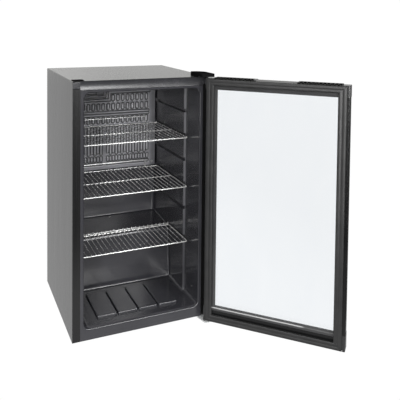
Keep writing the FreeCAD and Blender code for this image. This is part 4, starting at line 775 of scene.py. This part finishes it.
# ----------------------------------------------------------- machine compartment
def build_compressor():
    c = (300.0, 374.0)
    prof = [(0, 24), (20, 24.3), (34, 26), (46, 30), (55, 37), (61, 46), (64, 58), (65, 72), (65, 86.5), (66.2, 87.6),
            (68.2, 88.4), (68.9, 91.5), (68.2, 94.6), (66.2, 95.4), (65, 96.5), (64.8, 110), (63.5, 124), (59.5, 138),
            (51.5, 149), (40, 155.5), (24, 159), (10, 160.2), (0, 160.4)]
    parts = [lathe(prof, c, 56)]
    for a, r in ((70, 44), (205, 38)):
        px, py = c[0] + r * math.cos(math.radians(a)), c[1] + r * math.sin(math.radians(a))
        parts.append(lathe([(0, 150), (6.5, 150.4), (6.0, 158.5), (4.4, 160.4), (0, 160.8)], (px, py), 20))
    for a in (225,):
        d = Vector((math.cos(math.radians(a)), math.sin(math.radians(a)), 0))
        s = Vector((c[0], c[1], 78)) + d * 62
        parts.append(sweep([tuple(s), tuple(s + d * 12), tuple(s + d * 20)], [4.2, 4.0, 2.6], 14))
    ob = new_piece("hermetic_compressor", *join(parts), smooth=40.0)
    return stand_for(ob, "cabinet", "compressor", "compressor_shell")


def build_condenser():
    y, lo, step, x0, x1 = 474.0, 250.0, 52.8, 62.0, W - 76.0
    cx, cy = 300.0, 374.0
    pts = [(x0, cy + 10, 155.0), (x0, cy + 10, 172.0), (x0, y, 172.0)]
    for k in range(11):
        z = lo + k * step
        a, b = (x0, x1) if k % 2 == 0 else (x1, x0)
        pts += [(a, y, z), (b, y, z)]
    pts[-1] = (x1 + 17, y, lo + 10 * step)
    pts += [(x1 + 17, y, 135.0), (x1 + 17, cy + 72, 135.0), (cx, cy + 72, 135.0), (cx, cy + 60.5, 135.0)]
    ob = new_piece("condenser_coil", *sweep(round_path(pts, 17.0, 8), 2.4, 14), smooth=60.0)
    stand_for(ob, "cabinet", "condenser", "condenser_tube")
    parts = []
    for k in range(26):
        x = 100 + k * (W - 214) / 25
        for yy in (y - 3.0, y + 3.0):
            parts.append(sweep([(x, yy, 238.0), (x, yy, 500.0), (x, yy, 788.0)], 0.75, 8))
    ob = new_piece("condenser_fin_wires", *join(parts), smooth=60.0)
    stand_for(ob, "cabinet", "condenser", "condenser_wires")


def build_pipes():
    cx, cy, top = 300.0, 374.0, 192.0
    parts = [
        sweep(round_path([(62, cy + 10, 46), (62, cy + 10, 28), (62, 322, 28), (62, 322, top)], 8, 6), 1.3, 10),
        sweep(round_path([(cx - 63, cy, 112), (150, cy, 112), (150, cy, top)], 14, 8), 3.4, 14),
        sweep([(cx - 66, cy, 112), (cx - 74, cy, 112)], [4.4, 4.2], 14),
    ]
    ob = new_piece("copper_pipework", *join(parts), smooth=60.0)
    stand_for(ob, "cabinet", "copper", "refrigerant_pipes")
    prof = [(0, 43.6), (2.6, 43.8), (2.9, 47), (5.6, 51.5), (8.8, 55.6), (9.5, 59), (9.5, 98), (9.75, 99), (9.5, 100), (9.5, 141), (8.8, 144.6),
            (5.6, 149), (3.2, 153), (3.4, 156.2), (0, 156.4)]
    ob = new_piece("drier_cartridge", *lathe(prof, (62.0, cy + 10), 32), smooth=40.0)
    stand_for(ob, "cabinet", "copper", "filter_drier")


def build_cord():
    x, y = W - 34.0, D + 8.0
    path = round_path([(408.4, 392.0, 110.0), (x, 392.0, 110.0), (x, y, 110.0), (x, y, 420.0), (x + 14, y, 440.0), (x + 14, y, 530.0)], 12.0, 8)
    parts = [sweep(path, 3.3, 14)]
    # ribbed strain relief and moulded plug
    for k in range(6):
        z = 500 + k * 4.2
        r = 4.3 + k * 0.28
        parts.append(lathe([(0, z), (r - 0.5, z + 0.1), (r, z + 0.7), (r, z + 2.1), (r - 0.5, z + 2.8), (0, z + 2.9)], (x + 14, y), 20))
    parts.append(rounded_bar(W - 34, W - 6, D + 1.8, D + 15, 523, 556, 3.4, 3))
    parts.append(rounded_bar(W - 31.5, W - 8.5, D + 1.7, D + 15.4, 530, 547, 1.2, 2))
    for k, px in enumerate((W - 30, W - 15)):
        parts.append(rounded_bar(px, px + 5, D + 6.6, D + 9.4, 554, 573, 0.7, 2))
    ob = new_piece("supply_cord", *join(parts), smooth=45.0)
    stand_for(ob, "cabinet", "cord", "power_cord")


build_compressor()
build_condenser()
build_pipes()
build_cord()


def build_knob():
    cx, cy = 285.0, 197.0
    top = 800.0 - 31.0
    steps = 72
    verts, faces, rows = [], [], []
    prof = [(0.0, top), (10.6, top), (12.2, top + 0.5), (12.9, top + 1.8), (13.0, top + 6.4), (12.4, top + 8.0), (3.0, top + 8.0), (3.0, top + 16.5), (0.0, top + 16.5)]
    for r, z in prof:
        if r < 1e-6:
            rows.append([len(verts)] * steps)
            verts.append((cx, cy, z))
            continue
        row = []
        for k in range(steps):
            a = 2 * math.pi * k / steps
            g = 0.55 * (math.cos(a * 18) > 0.2) if 12.5 < r < 13.05 else 0.0
            row.append(len(verts))
            verts.append((cx + (r - g) * math.cos(a), cy + (r - g) * math.sin(a), z))
        rows.append(row)
    for i in range(len(prof) - 1):
        for k in range(steps):
            q = [rows[i][k], rows[i][(k + 1) % steps], rows[i + 1][(k + 1) % steps], rows[i + 1][k]]
            q = [v for j, v in enumerate(q) if v not in q[:j]]
            if len(q) > 2:
                faces.append(tuple(q))
    pointer = rounded_bar(cx - 1.0, cx + 1.0, cy - 1, cy + 11.2, top - 1.1, top + 1.0, 0.4, 2)
    ob = new_piece("temperature_knob", *join([(verts, faces), pointer]), smooth=35.0)
    stand_for(ob, "knob", "white_plastic", "thermostat_knob")


build_knob()

# ------------------------------------------------------------------- the stage
def build_stage():
    bm = bmesh.new()
    bmesh.ops.create_grid(bm, x_segments=24, y_segments=24, size=9.0)
    me = bpy.data.meshes.new("floor")
    bm.to_mesh(me)
    bm.free()
    ob = bpy.data.objects.new("floor", me)
    ob.location = (0, 0, -0.0002)
    scene.collection.objects.link(ob)
    m = Mat("floor")
    g = m.noise(m.co, 60, 4, 0.6)
    m.set(Base_Color=m.mix(g, (0.93, 0.93, 0.93), (0.95, 0.95, 0.95)), Roughness=0.7, Specular_IOR_Level=0.2)
    # Seen by the camera the paper is plain white; for everything else it is a
    # sheet that is bright round the cabinet and dim towards the camera.
    sep = m.node("ShaderNodeSeparateXYZ", _0=m.co)
    near = m.math("MULTIPLY", m.mapr(sep.outputs[1], -1.15, -0.62, 0.05, 0.72), m.mapr(sep.outputs[0], 0.42, 0.75, 1.0, 0.10))
    far = m.mapr(sep.outputs[1], -2.6, -4.0, 0.0, 0.18)
    glow = m.node("ShaderNodeEmission", Strength=m.math("ADD", near, far))
    white = m.node("ShaderNodeEmission", Color=m.mix(g, (1.0, 1.0, 1.0), (0.995, 0.995, 0.995)), Strength=1.01)
    lp = m.node("ShaderNodeLightPath")
    mx = m.node("ShaderNodeMixShader", _0=lp.outputs["Is Camera Ray"], _1=glow.outputs[0], _2=white.outputs[0])
    m.t.links.new(mx.outputs[0], m.out.inputs[0])
    me.materials.append(m.m)

    world = bpy.data.worlds.new("studio")
    scene.world = world
    world.use_nodes = True
    t = world.node_tree
    t.nodes.clear()
    out = t.nodes.new("ShaderNodeOutputWorld")
    seen = t.nodes.new("ShaderNodeBackground")
    seen.inputs[0].default_value = (1, 1, 1, 1)
    seen.inputs[1].default_value = 1.02
    lit = t.nodes.new("ShaderNodeBackground")
    tc = t.nodes.new("ShaderNodeTexCoord")
    sep = t.nodes.new("ShaderNodeSeparateXYZ")
    t.links.new(tc.outputs["Generated"], sep.inputs[0])

    def spread(value, a, b, c, d):
        n = t.nodes.new("ShaderNodeMapRange")
        n.interpolation_type = "SMOOTHSTEP"
        t.links.new(value, n.inputs[0])
        for i, v in enumerate((a, b, c, d)):
            n.inputs[i + 1].default_value = v
        return n.outputs[0]

    behind = spread(sep.outputs[1], -0.15, 0.35, 0.05, 0.90)
    above = spread(sep.outputs[2], 0.55, 0.95, 0.0, 0.45)
    lit.inputs[0].default_value = (1, 1, 0.985, 1)
    keep = spread(sep.outputs[0], 0.58, 0.80, 1.0, 0.06)
    cut = t.nodes.new("ShaderNodeMath")
    cut.operation = "MULTIPLY"
    t.links.new(behind, cut.inputs[0])
    t.links.new(keep, cut.inputs[1])
    add = t.nodes.new("ShaderNodeMath")
    add.operation = "ADD"
    t.links.new(cut.outputs[0], add.inputs[0])
    t.links.new(above, add.inputs[1])
    t.links.new(add.outputs[0], lit.inputs[1])
    lp = t.nodes.new("ShaderNodeLightPath")
    mx = t.nodes.new("ShaderNodeMixShader")
    t.links.new(lp.outputs["Is Camera Ray"], mx.inputs[0])
    t.links.new(lit.outputs[0], mx.inputs[1])
    t.links.new(seen.outputs[0], mx.inputs[2])
    t.links.new(mx.outputs[0], out.inputs[0])


def area(name, loc, target, size, power, size_y=None, color=(1, 1, 1)):
    li = bpy.data.lights.new(name, "AREA")
    li.energy = power
    li.color = color
    li.shape = "RECTANGLE"
    li.size = size
    li.size_y = size_y or size
    ob = bpy.data.objects.new(name, li)
    ob.location = loc
    ob.rotation_mode = "QUATERNION"
    ob.rotation_quaternion = (Vector(target) - Vector(loc)).to_track_quat("-Z", "Y")
    scene.collection.objects.link(ob)
    return ob


build_stage()
area("key", (-2.6, -1.9, 2.6), (0, 0, 0.45), 2.2, 55, 1.6)
area("front", (-0.2, -3.6, 1.45), (0, 0, 0.45), 2.4, 125, 1.1)
area("strip", (-1.6, -3.2, 0.95), (0, 0, 0.45), 0.4, 95, 1.9)
area("high", (1.2, -2.6, 2.4), (0, 0, 0.45), 1.0, 80)
area("top", (0.2, -0.2, 3.2), (0, 0, 0.4), 2.4, 50)
area("right", (3.0, -0.9, 1.3), (0.2, 0, 0.4), 2.0, 55)
area("rear", (-0.3, 2.8, 2.8), (0, 0.2, 0.4), 2.0, 30)


# ------------------------------------------------------------------ the camera
def build_camera():
    yaw, pitch, roll = 0.4069, 0.042, 0.0099
    f = 569.93
    loc = P(-372.72, -1749.91, 1038.46)
    fwd = Vector((math.sin(yaw) * math.cos(pitch), math.cos(yaw) * math.cos(pitch), -math.sin(pitch)))
    right = Vector((math.cos(yaw), -math.sin(yaw), 0))
    up = right.cross(fwd)
    r2 = right * math.cos(roll) + up * math.sin(roll)
    u2 = -right * math.sin(roll) + up * math.cos(roll)
    rot = Matrix((r2, u2, -fwd)).transposed()
    cd = bpy.data.cameras.new("camera")
    cam = bpy.data.objects.new("camera", cd)
    scene.collection.objects.link(cam)
    cam.rotation_mode = "QUATERNION"
    cam.location = loc
    cam.rotation_quaternion = rot.to_quaternion()
    cd.sensor_width = 36.0
    cd.lens = f / 400 * 36
    cd.clip_start, cd.clip_end = 0.05, 60
    # The picture is shifted as with a view camera, only at this standpoint: a
    # driver curve returns the shift when the camera stands here and 0 elsewhere.
    for prop, amount in (("shift_x", (200 - 186.30) / 400), ("shift_y", -(200 - 39.02) / 400)):
        curve = cd.driver_add(prop)
        drv = curve.driver
        drv.type = "SUM"
        v = drv.variables.new()
        v.name = "stand"
        v.type = "TRANSFORMS"
        v.targets[0].id = cam
        v.targets[0].transform_type = "LOC_X"
        v.targets[0].transform_space = "WORLD_SPACE"
        for mod in list(curve.modifiers):
            curve.modifiers.remove(mod)
        while len(curve.keyframe_points):
            curve.keyframe_points.remove(curve.keyframe_points[0])
        x = loc.x
        curve.keyframe_points.add(4)
        for kp, (a, b) in zip(curve.keyframe_points, ((x - 0.05, 0.0), (x - 0.02, amount), (x + 0.02, amount), (x + 0.05, 0.0))):
            kp.co = (a, b)
            kp.interpolation = "LINEAR"
        curve.extrapolation = "CONSTANT"
        curve.update()
    scene.camera = cam
    return cam


build_camera()

bpy.context.view_layer.update()
